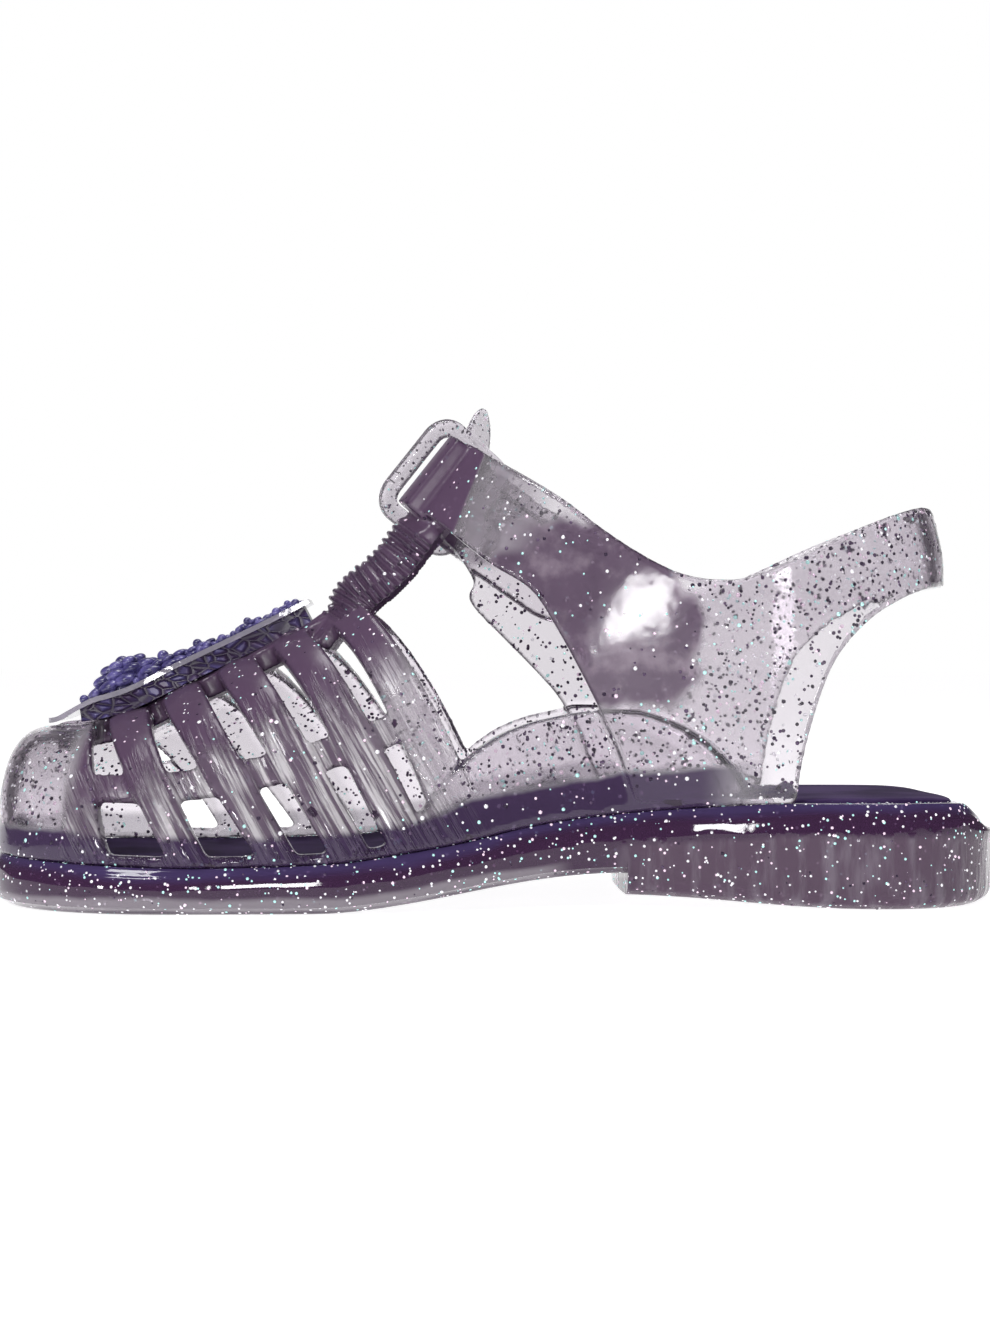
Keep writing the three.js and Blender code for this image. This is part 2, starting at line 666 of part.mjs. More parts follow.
function sleeveSolid() {
  const sheet = (out) => (u, v) => instepPoint((u - 0.5) * SLEEVE_LENGTH, (v - 0.5) * STRAP_WIDTH, out);
  return slab(6, 1, sheet(SLEEVE_DEPTH / 2), sheet(-SLEEVE_DEPTH / 2));
}

function tbarSolid() {
  const path = new THREE.SplineCurve(TBAR.map((row) => new THREE.Vector2(along(row.at), row.height * STRAP_HEIGHT)));
  const sheet = (deep, ribs) => (u, v) => {
    const p = path.getPointAt(u);
    const t = path.getTangentAt(u);
    const ribbed = clamp((u - 0.22) / 0.7, 0, 1);
    const rib = ribs * RIB_HEIGHT * Math.abs(Math.sin(ribbed * TBAR_RIBS * Math.PI));
    const drop = TBAR_DROP * (2 * v - 1) ** 2 * (0.35 + 0.65 * smooth(0, 0.3, u)) + deep - rib;
    return new THREE.Vector3(p.x + t.y * drop, (v - 0.5) * TBAR_WIDTH, p.y - t.x * drop);
  };
  return slab(34, 2, sheet(0, 1), sheet(TBAR_THICKNESS, 0));
}

// Free end of the strap, which lies on the outer panel beyond the buckle
function strapEndSolid() {
  const fall = THREE.MathUtils.degToRad(STRAP_END.fall);
  const start = new THREE.Vector2(
    along(STRAP_END.at) - STRAP_END_RUN,
    STRAP_END.height * STRAP_HEIGHT + STRAP_END_RUN * Math.tan(fall)
  );
  const sheet = (offset) => (u, v) => {
    const s = u * STRAP_END_LENGTH;
    const tip = clamp((STRAP_END_LENGTH - s) / STRAP_END_TIP, 0, 1);
    const width = STRAP_WIDTH * lerp(0.12, 1, Math.sqrt(1 - (1 - tip) ** 2));
    const w = (v - 0.5) * width;
    const x = start.x + s * Math.cos(fall) + w * Math.sin(fall);
    const z = start.y - s * Math.sin(fall) + w * Math.cos(fall);
    return ankleFace(ankleTurn(x, z, -1), z, offset);
  };
  return slab(10, 2, sheet(WALL + 0.2), sheet(-0.4));
}

// The buckle's rounded ring, with a pointed tab on its upper side. The growth widens its bar.
function ringSolid(grow) {
  const tilt = THREE.MathUtils.degToRad(RING_TILT);
  const across = new THREE.Vector3(0, Math.cos(tilt), 0).addScaledVector(STRAP_OUT, -Math.sin(tilt));
  const out = new THREE.Vector3().crossVectors(STRAP_UP, across).normalize();
  if (out.dot(STRAP_OUT) < 0) out.negate();
  const first = INSTEP.clone().addScaledVector(STRAP_OUT, RING_STAND);
  first.y = RING_SIDE;
  const centre = first.clone().addScaledVector(across, RING_LENGTH / 2);
  const place = (a, b, c) =>
    centre.clone().addScaledVector(across, a).addScaledVector(STRAP_UP, b).addScaledVector(out, c);
  const halfA = RING_LENGTH / 2;
  const halfB = RING_WIDTH / 2;
  const corner = RING_CORNER;
  const bar = RING_BAR / 2 + grow;
  const sides = 8;
  const rows = 28;
  const ringPath = new THREE.Shape();
  ringPath.moveTo(-halfA + corner, -halfB);
  ringPath.lineTo(halfA - corner, -halfB);
  ringPath.absarc(halfA - corner, -halfB + corner, corner, -Math.PI / 2, 0);
  ringPath.lineTo(halfA, halfB - corner);
  ringPath.absarc(halfA - corner, halfB - corner, corner, 0, Math.PI / 2);
  ringPath.lineTo(-halfA + corner, halfB);
  ringPath.absarc(-halfA + corner, halfB - corner, corner, Math.PI / 2, Math.PI);
  ringPath.lineTo(-halfA, -halfB + corner);
  ringPath.absarc(-halfA + corner, -halfB + corner, corner, Math.PI, 1.5 * Math.PI);
  const points = [];
  for (let i = 0; i < rows; i += 1) {
    const p = ringPath.getPointAt(i / rows);
    const t = ringPath.getTangentAt(i / rows);
    for (let j = 0; j < sides; j += 1) {
      const turn = ((j + 0.5) / sides) * 2 * Math.PI;
      const r = bar * Math.cos(turn);
      points.push(place(p.x + t.y * r, p.y - t.x * r, bar * RING_FLATNESS * Math.sin(turn)));
    }
  }
  const faces = [];
  const id = (i, j) => (i % rows) * sides + (j % sides);
  for (let i = 0; i < rows; i += 1) {
    for (let j = 0; j < sides; j += 1) {
      faces.push([id(i, j), id(i + 1, j), id(i + 1, j + 1)], [id(i, j), id(i + 1, j + 1), id(i, j + 1)]);
    }
  }
  const lean = THREE.MathUtils.degToRad(TAB_LEAN);
  const tab = (c) => (u, v) => {
    const half = (TAB_WIDTH / 2 + grow) * Math.sqrt(1 - u ** 1.6) + 0.15;
    const run = u * (TAB_LENGTH + grow);
    const b = halfB + run * Math.cos(lean) - c * Math.sin(lean);
    return place((v - 0.5) * 2 * half, b, run * Math.sin(lean) + c * Math.cos(lean));
  };
  const thick = TAB_THICKNESS / 2 + grow;
  return fromFaces(points, faces).add(slab(6, 1, tab(thick), tab(-thick)));
}

// Frame of the ridge line: a point above the ridge at a place along it
function ridgePoint(place, y, out) {
  const z = (at) => column(SPINE, "height", at) * INSTEP_HEIGHT;
  const rise = (z(place + 0.01) - z(place - 0.01)) / (0.02 * LENGTH);
  const normal = new THREE.Vector3(-rise, 0, 1).normalize();
  return new THREE.Vector3(along(place), y, z(place)).addScaledVector(normal, out);
}

// Offsets of the ornament's layers from the ridge line. The plate's front end dips onto the cap.
const BED_LOW = SPINE_RISE + GAP;
const PLATE_LOW = BED_LOW + BED_THICKNESS + GAP;
const plateLow = (place) => lerp(GAP + 0.1, PLATE_LOW, smooth(PLATE_FROM, PLATE_LIFTED, place));

// Half width of the pointed plate at a place along it, from 0 to 1
function plateHalf(t, margin) {
  const front = Math.sqrt(1 - (1 - clamp(t / 0.3, 0, 1)) ** 2);
  const back = lerp(1, 0.5, smooth(0.35, 1, t));
  return Math.max(PLATE_WIDTH / 2 * front * back - margin, 0.4);
}

function layerSolid(from, to, margin, low, high) {
  const sheet = (out) => (u, v) => {
    const place = lerp(from, to, u);
    const t = (place - PLATE_FROM) / (PLATE_TO - PLATE_FROM);
    return ridgePoint(place, (2 * v - 1) * plateHalf(t, margin), out(place));
  };
  return slab(20, 2, sheet(high), sheet(low));
}

function bedSolid() {
  return layerSolid(BED_FROM, BED_TO, BED_MARGIN, () => BED_LOW, (place) => plateLow(place) - GAP);
}

function plateSolid() {
  return layerSolid(PLATE_FROM, PLATE_TO, 0, plateLow, (place) => plateLow(place) + PLATE_THICKNESS);
}

// A generic rosette of rounded petals round a bead
function flowerSolid(radius, height) {
  const turns = 4 * PETALS;
  const sheet = (u, v) => {
    const turn = u * 2 * Math.PI;
    const lobe = 1 - PETAL_NOTCH + PETAL_NOTCH * Math.abs(Math.cos((turn * PETALS) / 2));
    const r = radius * lobe * Math.sin(v * Math.PI / 2);
    const dome = Math.cos(v * Math.PI / 2);
    const cup = 0.72 + 0.28 * Math.cos(v * 4.2);
    return new THREE.Vector3(r * Math.cos(turn), r * Math.sin(turn), height * dome * cup);
  };
  const points = [new THREE.Vector3(0, 0, height)];
  const rows = 4;
  for (let j = 1; j <= rows; j += 1) {
    for (let i = 0; i < turns; i += 1) points.push(sheet(i / turns, j / rows));
  }
  points.push(new THREE.Vector3(0, 0, 0));
  const id = (j, i) => 1 + (j - 1) * turns + (i % turns);
  const faces = [];
  for (let i = 0; i < turns; i += 1) {
    faces.push([0, id(1, i), id(1, i + 1)]);
    for (let j = 1; j < rows; j += 1) {
      faces.push([id(j, i), id(j + 1, i), id(j + 1, i + 1)], [id(j, i), id(j + 1, i + 1), id(j, i + 1)]);
    }
    faces.push([points.length - 1, id(rows, i + 1), id(rows, i)]);
  }
  return fromFaces(points, faces);
}

function flowerAt(flower) {
  const radius = FLOWER_RADIUS * flower.size;
  const reach = radius / LENGTH;
  const seat = (place) => ridgePoint(place, 0, plateLow(place) + PLATE_THICKNESS + GAP);
  const back = seat(flower.at - reach);
  const ahead = seat(flower.at + reach);
  const tilt = -Math.atan2(ahead.z - back.z, ahead.x - back.x);
  const turn = new THREE.Matrix4().makeRotationY(tilt).setPosition(back.lerp(ahead, 0.5));
  return flowerSolid(radius, FLOWER_HEIGHT * flower.height).transform(turn.elements);
}

function node(name, body, colour) {
  const { vertProperties, triVerts } = body.getMesh();
  const geometry = new THREE.BufferGeometry();
  geometry.setAttribute("position", new THREE.BufferAttribute(new Float32Array(vertProperties), 3));
  geometry.setIndex(new THREE.BufferAttribute(new Uint32Array(triVerts), 1));
  geometry.computeVertexNormals();
  const mesh = new THREE.Mesh(geometry, new THREE.MeshStandardMaterial(colour));
  mesh.name = name;
  return mesh;
}

const cage = STRAPS.flatMap((strap) => [strapSolid(strap, INNER), strapSolid(strap, OUTER)]);
const ring = ringSolid(0);
const upper = joined([
  capSolid(),
  bandSolid(),
  ...cage,
  barSolid(INNER),
  barSolid(OUTER),
  spineSolid(),
  humpSolid(INNER),
  humpSolid(OUTER),
  ankleSolid(),
  sleeveSolid(),
  tbarSolid(),
  strapEndSolid(),
]).subtract(ringSolid(GAP));

const sandal = new THREE.Group();
sandal.name = "jelly_sandal";
sandal.add(node("sole", soleSolid(), COLOURS.sole));
sandal.add(node("upper", upper, COLOURS.upper));
sandal.add(node("insole", insoleSolid(), COLOURS.insole));
sandal.add(node("buckle_ring", ring, COLOURS.buckle_ring));
sandal.add(node("ornament_bed", bedSolid(), COLOURS.ornament));
sandal.add(node("ornament_plate", plateSolid(), COLOURS.ornament_plate));
for (const flower of FLOWERS) sandal.add(node(flower.name, flowerAt(flower), COLOURS.ornament));

export default sandal;
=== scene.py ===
# Looks of the child's jelly sandal: clear glitter PVC, violet insole and ornament. Lengths are in millimetres
# in the tables and functions of the shapes, and turn into metres where a mesh is made. Looks are in metres.
import math

import bmesh
import bpy
import numpy as np
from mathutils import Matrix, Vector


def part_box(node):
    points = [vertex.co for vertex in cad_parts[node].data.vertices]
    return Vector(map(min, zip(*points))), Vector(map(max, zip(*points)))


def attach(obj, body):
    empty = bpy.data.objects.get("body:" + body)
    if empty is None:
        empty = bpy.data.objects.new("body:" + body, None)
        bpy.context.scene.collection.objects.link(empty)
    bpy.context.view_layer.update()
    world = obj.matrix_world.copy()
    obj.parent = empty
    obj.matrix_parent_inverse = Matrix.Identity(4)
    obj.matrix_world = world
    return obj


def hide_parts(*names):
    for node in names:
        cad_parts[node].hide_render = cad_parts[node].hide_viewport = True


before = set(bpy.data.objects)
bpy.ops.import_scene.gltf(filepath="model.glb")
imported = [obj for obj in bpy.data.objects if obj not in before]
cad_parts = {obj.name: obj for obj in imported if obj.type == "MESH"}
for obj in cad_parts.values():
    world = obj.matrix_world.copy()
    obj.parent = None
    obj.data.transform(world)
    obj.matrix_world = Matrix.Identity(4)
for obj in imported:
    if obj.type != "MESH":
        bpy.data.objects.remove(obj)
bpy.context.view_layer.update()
RNG = np.random.default_rng(24)
MM = 0.001

# Camera, from the photograph: the eye is level, square to the shoe's inner side and a little over the floor
EYE_DISTANCE = 305
EYE_HEIGHT = 35.3
LENS = 52.6
FRAMING_SHIFT = 0.0076


def placed(name, data):
    """A new object in the scene."""
    obj = bpy.data.objects.new(name, data)
    bpy.context.scene.collection.objects.link(obj)
    return obj


def set_camera():
    data = bpy.data.cameras.new("camera")
    data.lens = LENS
    data.sensor_width = 36
    data.shift_y = FRAMING_SHIFT
    data.clip_start = 0.01
    camera = placed("camera", data)
    camera.location = (0, -EYE_DISTANCE * MM, EYE_HEIGHT * MM)
    camera.rotation_euler = (math.pi / 2, 0, 0)
    bpy.context.scene.camera = camera


set_camera()

# Driving sizes, read from the frame where it holds them
sole_low, sole_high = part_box("sole")
LENGTH = (sole_high.x - sole_low.x) / MM
HEEL_HEIGHT = (sole_high.z - sole_low.z) / MM
BALL_WIDTH = 58
INSTEP_HEIGHT = 47
STRAP_HEIGHT = 68
GAP = 0.3
SOLE_EDGE = 1.3
RIM_WIDTH = 2.7
RECESS_DEPTH = 2.6
WAIST_LIFT = 5.1
HEEL_ROUNDING = 8
HEEL_TUCK = 1.5
BLOCK_FRONT = 0.62
BREAST_BULGE = 2.2
BREAST_LIFT = 2
INSOLE_RISE = 0.5
INSOLE_INSET = SOLE_EDGE + RIM_WIDTH - 0.05
WALL = 2.2
STRAP_RISE = 0.2
STRAP_SINK = 0.1
CROWN = 0.5
BAND_HEIGHT = 1.6
BAND_END = 0.785
BAND_INSETS = (0.1, WALL + 0.2)
BAR_WIDTH = 4.2
BAR_SINK = 0.6
BAR_WALL = 1.3
SPINE_WIDTH = 9
SPINE_RISE = 0.6
SPINE_CROWN = 0.9
SPINE_END = 0.365
HUMP_WALL = 2.7
HUMP_LEAN = 0.07
HUMP_INSET = 0.8
ANKLE_WIDTH = 45
STRAP_WIDTH = 13.2
TBAR_WIDTH = 14
TBAR_DROP = 4.4
TBAR_THICKNESS = 2.6
TBAR_RIBS = 11
RIB_HEIGHT = 0.65
RIB_COUNT = 16
RIBS_FROM = 0.16
RIBS_TO = 0.93
RIBS_FADE = 0.04
TBAR_BACK = -40
TBAR_LOW = 36
SLEEVE_LENGTH = 13
SLEEVE_DEPTH = 7.5
STRAP_END_LENGTH = 30
STRAP_END_LEAD = 14
STRAP_TIP = 8
RING_WIDTH = 16.4
RING_LENGTH = 16.4
RING_BAR = 3
RING_FLATNESS = 0.8
RING_CORNER = 3.2
RING_STAND = 5.2
RING_SIDE = 3.4
RING_TILT = 50
TAB_LENGTH = 8
TAB_LEAN = 38
TAB_WIDTH = 5.6
PLATE_WIDTH = 14
PLATE_THICKNESS = 0.8
BED_THICKNESS = 1.7
BED_MARGIN = 1.2
FLOWER_RADIUS = 6.4
FLOWER_HEIGHT = 4.4


def table(names, *rows):
    """Rows of numbers under named columns."""
    data = np.array(rows, float)
    return {name: data[:, k] for k, name in enumerate(names.split())}


SOLE_SECTIONS = table(
    "at half shift rim",
    (0.0, 0.45, -0.05, 0.5),
    (0.1, 0.468, -0.035, 0.46),
    (0.22, 0.49, -0.012, 0.43),
    (0.34, 0.498, 0.008, 0.46),
    (0.45, 0.455, 0.022, 0.6),
    (0.56, 0.392, 0.03, 0.82),
    (0.66, 0.372, 0.022, 0.93),
    (0.8, 0.39, 0.008, 1.0),
    (0.92, 0.392, 0.0, 1.0),
    (1.0, 0.39, 0.0, 0.96),
)
TOE_ROUND = 0.2
HEEL_ROUND = 0.135
ROUND_POWER = 2.25
STRAPS = table(
    "foot spine low high lean bar",
    (0.2176, 0.126, 0.1, 0.1, 0.2, 0.51),
    (0.302, 0.178, 0.1, 0.1, 0.2, 0.475),
    (0.37, 0.232, 0.1, 0.097, 0.22, 0.465),
    (0.425, 0.283, 0.1, 0.092, 0.3, 0.475),
    (0.477, 0.349, 0.12, 0.08, 0.42, 0.49),
)
CAP_FOOT = 0.137
CAP_SPINE = 0.096
CAP_TIP_SPINE = 0.07
CAP_LEAN = 0.35
CAP_BAR = 0.53
TOE_SECTION = 0.6
TOE_REACH = 1
SPINE = table(
    "at height",
    (0.06, 0.565),
    (0.1, 0.583),
    (0.135, 0.614),
    (0.195, 0.71),
    (0.257, 0.81),
    (0.325, 0.925),
    (0.37, 1.01),
)
SECTION_ACROSS = 0.85
SECTION_UP = 0.9
TBAR = table(
    "at height",
    (0.312, 0.59),
    (0.332, 0.672),
    (0.3458, 0.7235),
    (0.3768, 0.784),
    (0.398, 0.8456),
    (0.414, 0.89),
)
HUMP = table(
    "at height",
    (0.43, 0.3),
    (0.481, 0.483),
    (0.516, 0.557),
    (0.55, 0.596),
    (0.598, 0.621),
    (0.635, 0.617),
    (0.664, 0.589),
    (0.692, 0.54),
    (0.715, 0.472),
    (0.73, 0.41),
    (0.739, 0.36),
)
ANKLE_LEVELS = table(
    "at half heel",
    (0.15, 0.445, 0.93),
    (0.4, 0.475, 0.945),
    (0.62, 0.49, 0.953),
    (0.75, 0.492, 0.953),
    (0.88, 0.488, 0.942),
    (1.0, 0.48, 0.93),
    (1.2, 0.47, 0.92),
)
ANKLE_MIDDLE = 0.758
INSTEP_PLACE = 0.4412
INSTEP_SLOPE = 51.5
INSTEP_CENTRE = 0.963
HEEL_POWER = 2.3
TOP_EDGE = table(
    "at height",
    (0.495, 1.0),
    (0.563, 0.899),
    (0.6, 0.832),
    (0.638, 0.773),
    (0.6755, 0.73),
    (0.7135, 0.715),
    (0.7516, 0.729),
    (0.84, 0.8207),
    (0.9, 0.872),
    (0.928, 0.884),
    (0.942, 0.868),
    (0.955, 0.82),
    (1.02, 0.78),
)
LOW_EDGE = table(
    "at height",
    (1.02, 0.715),
    (0.955, 0.71),
    (0.913, 0.694),
    (0.872, 0.651),
    (0.845, 0.601),
    (0.827, 0.551),
    (0.8135, 0.487),
    (0.8, 0.39),
    (0.7916, 0.303),
    (0.786, 0.2),
)
INNER_FRONT_EDGE = table(
    "at height",
    (0.64, 0.2),
    (0.62, 0.33),
    (0.599, 0.437),
    (0.581, 0.519),
    (0.557, 0.618),
    (0.534, 0.696),
    (0.495, 0.754),
    (0.459, 0.822),
)
OUTER_FRONT_EDGE = table(
    "at height",
    (0.62, 0.2),
    (0.595, 0.34),
    (0.574, 0.434),
    (0.551, 0.5),
    (0.508, 0.6),
    (0.48, 0.665),
    (0.472, 0.7),
    (0.477, 0.735),
    (0.459, 0.805),
)
STRAP_END_AT = 0.535
STRAP_END_HEIGHT = 0.79
STRAP_END_FALL = 34.5


def along(share):
    return (np.asarray(share, float) - 0.5) * LENGTH


def lerp(a, b, t):
    return a + (b - a) * t


def smooth(low, high, value):
    t = np.clip((np.asarray(value, float) - low) / (high - low), 0, 1)
    return t * t * (3 - 2 * t)


def column(rows, name, at, key="at"):
    """Smooth value of one column of a table at some places, held level past both ends."""
    xs, ys = rows[key], rows[name]
    rise = np.diff(ys) / np.diff(xs)
    slopes = np.concatenate([[rise[0]], np.zeros(len(xs) - 2), [rise[-1]]])
    for k in range(1, len(xs) - 1):
        if rise[k - 1] * rise[k] > 0:
            slopes[k] = 2 / (1 / rise[k - 1] + 1 / rise[k])
    at = np.clip(np.asarray(at, float), xs[0], xs[-1])
    i = np.clip(np.searchsorted(xs, at, side="right") - 1, 0, len(xs) - 2)
    span = xs[i + 1] - xs[i]
    t = (at - xs[i]) / span
    bend = (2 * t - 3) * t * t + 1
    start = (t - 2) * t * t + t
    end = (t - 1) * t * t
    return ys[i] * bend + ys[i + 1] * (1 - bend) + span * (slopes[i] * start + slopes[i + 1] * end)


def unit(vectors):
    return vectors / np.linalg.norm(vectors, axis=-1, keepdims=True)


def stack(*parts):
    """Points from their coordinates, which may be arrays or numbers."""
    return np.stack(np.broadcast_arrays(*[np.asarray(p, float) for p in parts]), axis=-1)


def spline(rows, count):
    """Points on a smooth curve through a table of side-view points, in x and z."""
    points = np.stack([along(rows["at"]), rows["height"] * STRAP_HEIGHT], axis=1)
    padded = np.vstack([2 * points[0] - points[1], points, 2 * points[-1] - points[-2]])
    out = []
    for s in np.linspace(0, len(points) - 1, count):
        i = min(int(s), len(points) - 2)
        t = s - i
        p0, p1, p2, p3 = padded[i : i + 4]
        second = (2 * p0 - 5 * p1 + 4 * p2 - p3) * t * t
        third = (3 * p1 - p0 - 3 * p2 + p3) * t**3
        out.append(0.5 * (2 * p1 + (p2 - p0) * t + second + third))
    return np.array(out)


# Meshes


def slab(outer, inner, closed=False):
    """A closed solid between two grids of points, or a ring when closed, as vertices and quads."""
    rows, cols = outer.shape[:2]
    verts = np.concatenate([outer.reshape(-1, 3), inner.reshape(-1, 3)])
    half = rows * cols
    last = rows if closed else rows - 1
    faces = []

    def at(side, i, j):
        return side * half + (i % rows) * cols + j

    for i in range(last):
        for j in range(cols - 1):
            faces.append((at(0, i, j), at(0, i + 1, j), at(0, i + 1, j + 1), at(0, i, j + 1)))
            faces.append((at(1, i, j), at(1, i, j + 1), at(1, i + 1, j + 1), at(1, i + 1, j)))
        faces.append((at(0, i, 0), at(1, i, 0), at(1, i + 1, 0), at(0, i + 1, 0)))
        end = cols - 1
        faces.append((at(0, i, end), at(0, i + 1, end), at(1, i + 1, end), at(1, i, end)))
    if not closed:
        end = rows - 1
        for j in range(cols - 1):
            faces.append((at(0, 0, j), at(0, 0, j + 1), at(1, 0, j + 1), at(1, 0, j)))
            faces.append((at(0, end, j), at(1, end, j), at(1, end, j + 1), at(0, end, j + 1)))
    return verts, faces


def shell(face, a, b, outer=0, inner=-WALL):
    """A closed wall between two offsets from a curved face."""
    return slab(face(a, b, outer), face(a, b, inner))


def moved_out(point, across, up, away, offset):
    """Points of a curved face moved square to it, towards the side that a vector names."""
    normal = unit(np.cross(across, up))
    flip = np.where((normal * away).sum(-1) < 0, -1.0, 1.0)
    return point + normal * (flip * offset)[..., None]


def join(solids):
    """Several lists of vertices and faces as one."""
    verts, faces, base = [], [], 0
    for v, f in solids:
        verts.append(v)
        faces.extend(tuple(k + base for k in face) for face in f)
        base += len(v)
    return np.concatenate(verts), faces


def make_object(name, solid_data, weld=True):
    """A mesh object from millimetre points, with its faces turned out."""
    verts, faces = solid_data
    mesh = bpy.data.meshes.new(name)
    mesh.from_pydata((verts * MM).tolist(), [], faces)
    mesh.validate()
    obj = placed(name, mesh)
    bpy.context.view_layer.objects.active = obj
    for other in bpy.context.selected_objects:
        other.select_set(False)
    obj.select_set(True)
    bpy.ops.object.mode_set(mode="EDIT")
    bpy.ops.mesh.select_all(action="SELECT")
    if weld:
        bpy.ops.mesh.remove_doubles(threshold=1e-6)
        bpy.ops.mesh.dissolve_degenerate(threshold=1e-7)
    bpy.ops.mesh.normals_make_consistent(inside=False)
    bpy.ops.object.mode_set(mode="OBJECT")
    return obj


def modify(obj, kind, **settings):
    """Adds a modifier and applies it at once."""
    modifier = obj.modifiers.new(kind.lower(), kind)
    for key, value in settings.items():
        setattr(modifier, key, value)
    graph = bpy.context.evaluated_depsgraph_get()
    mesh = bpy.data.meshes.new_from_object(obj.evaluated_get(graph))
    old = obj.data
    obj.modifiers.clear()
    obj.data = mesh
    bpy.data.meshes.remove(old)
    return obj


def shade_smooth(obj):
    obj.data.polygons.foreach_set("use_smooth", [True] * len(obj.data.polygons))
    obj.data.update()


# Sole outline and sections


def outline_raw(angle):
    u = (1 - np.cos(angle)) / 2
    side = np.where(np.sin(angle) >= 0, -1.0, 1.0)
    toe = np.clip(1 - u / TOE_ROUND, 0, 1)
    heel = np.clip(1 - (1 - u) / HEEL_ROUND, 0, 1)
    ends = (1 - toe**ROUND_POWER) ** (1 / ROUND_POWER) * (1 - heel**ROUND_POWER) ** (1 / ROUND_POWER)
    half = column(SOLE_SECTIONS, "half", u) * ends
    middle = column(SOLE_SECTIONS, "shift", u)
    return stack(along(u), (middle + side * half) * BALL_WIDTH)


def outline(angle, inset):
    """The sole's outline from above, moved inwards. Angles run from the toe by the inner side to the heel."""
    step = 0.012
    tangent = unit(outline_raw(angle + step) - outline_raw(angle - step))
    point = outline_raw(angle)
    inset = np.asarray(inset, float)
    return stack(point[..., 0] - tangent[..., 1] * inset, point[..., 1] + tangent[..., 0] * inset)


def share_of(angle):
    return (1 - np.cos(angle)) / 2


def angle_of(share):
    return np.arccos(1 - 2 * np.asarray(share, float))


def rim_height(share):
    return column(SOLE_SECTIONS, "rim", share) * HEEL_HEIGHT


def plate_under(share):
    return WAIST_LIFT * smooth(0.33, 0.62, share)


def ring_stack(rings, share0=0.0, share1=1.0, stations=110, across=14):
    """A solid stacked from rings round the outline, with gridded caps. A ring is its inset and its height."""
    inner_side = lerp(angle_of(share0), angle_of(share1), np.linspace(0, 1, stations + 1))
    angles = np.concatenate([inner_side, 2 * math.pi - inner_side[-2:0:-1]])
    share = share_of(angles)
    count = len(angles)
    verts, faces = [], []
    for inset, height in rings:
        flat = outline(angles, inset(share))
        verts.append(stack(flat[:, 0], flat[:, 1], height(share)))
    for r in range(len(rings) - 1):
        for k in range(count):
            n = (k + 1) % count
            faces.append((r * count + k, r * count + n, (r + 1) * count + n, (r + 1) * count + k))
    left_ids = np.arange(stations + 1)
    right_ids = -left_ids % count
    for ring in (0, len(rings) - 1):
        left, right = verts[ring][left_ids], verts[ring][right_ids]
        base = sum(len(v) for v in verts)
        steps = np.linspace(0, 1, across + 1)[1:-1]
        middle = left[:, None, :] * (1 - steps[None, :, None]) + right[:, None, :] * steps[None, :, None]
        middle[:, :, 2] = rings[ring][1](share_of(inner_side))[:, None]
        verts.append(middle.reshape(-1, 3))
        ids = np.empty((stations + 1, across + 1), int)
        ids[:, 0] = ring * count + left_ids
        ids[:, -1] = ring * count + right_ids
        ids[:, 1:-1] = base + np.arange((stations + 1) * (across - 1)).reshape(stations + 1, across - 1)
        for i in range(stations):
            for j in range(across):
                faces.append((ids[i, j], ids[i + 1, j], ids[i + 1, j + 1], ids[i, j + 1]))
    faces = [tuple(int(k) for k in dict.fromkeys(face)) for face in faces]
    return np.concatenate(verts), [face for face in faces if len(face) > 2]


# Rings round the sole's plate from its lower edge over the rim into the recess, and round the heel block
PLATE_RINGS = table(
    "inset round tuck low rise drop",
    (2.3, 0, 1, 1, 0, 0),
    (0.5, 0, 1, 1, 1.05, 0),
    (0, 0, 0, 0.5, 0, 0),
    (0.35, 0.03, 0, 0, -1.3, 0.38),
    (0.8, 0.2, 0, 0, -0.5, 0.2),
    (1.0, 0.4, 0, 0, -0.2, 0.06),
    (1.3, 0.6, 0, 0, 0, 0),
    (4.0, 0.3, 0, 0, 0, 0),
    (4.0, 0.3, 0, 0, -2.6, 0),
)
RIM_RING = 6
BLOCK_RINGS = table("inset rise lift", (2.1, 0, 1), (0.65, 1.05, 1), (0.2, 3, 1), (0.2, 10, 0))
BLOCK_WALL_RING = 2


def heel_rounding(share):
    return HEEL_ROUNDING * smooth(0.95, 1.0, share)


def refined(rows, last, steps):
    """A table's rows with smooth rows put between them, up to a last one, and the rest as they are."""
    count = len(next(iter(rows.values())))
    at = np.concatenate([np.linspace(0, last, last * steps + 1), np.arange(last + 1, count)])
    keyed = dict(rows, at=np.arange(count, dtype=float))
    return {name: column(keyed, name, at) for name in rows}


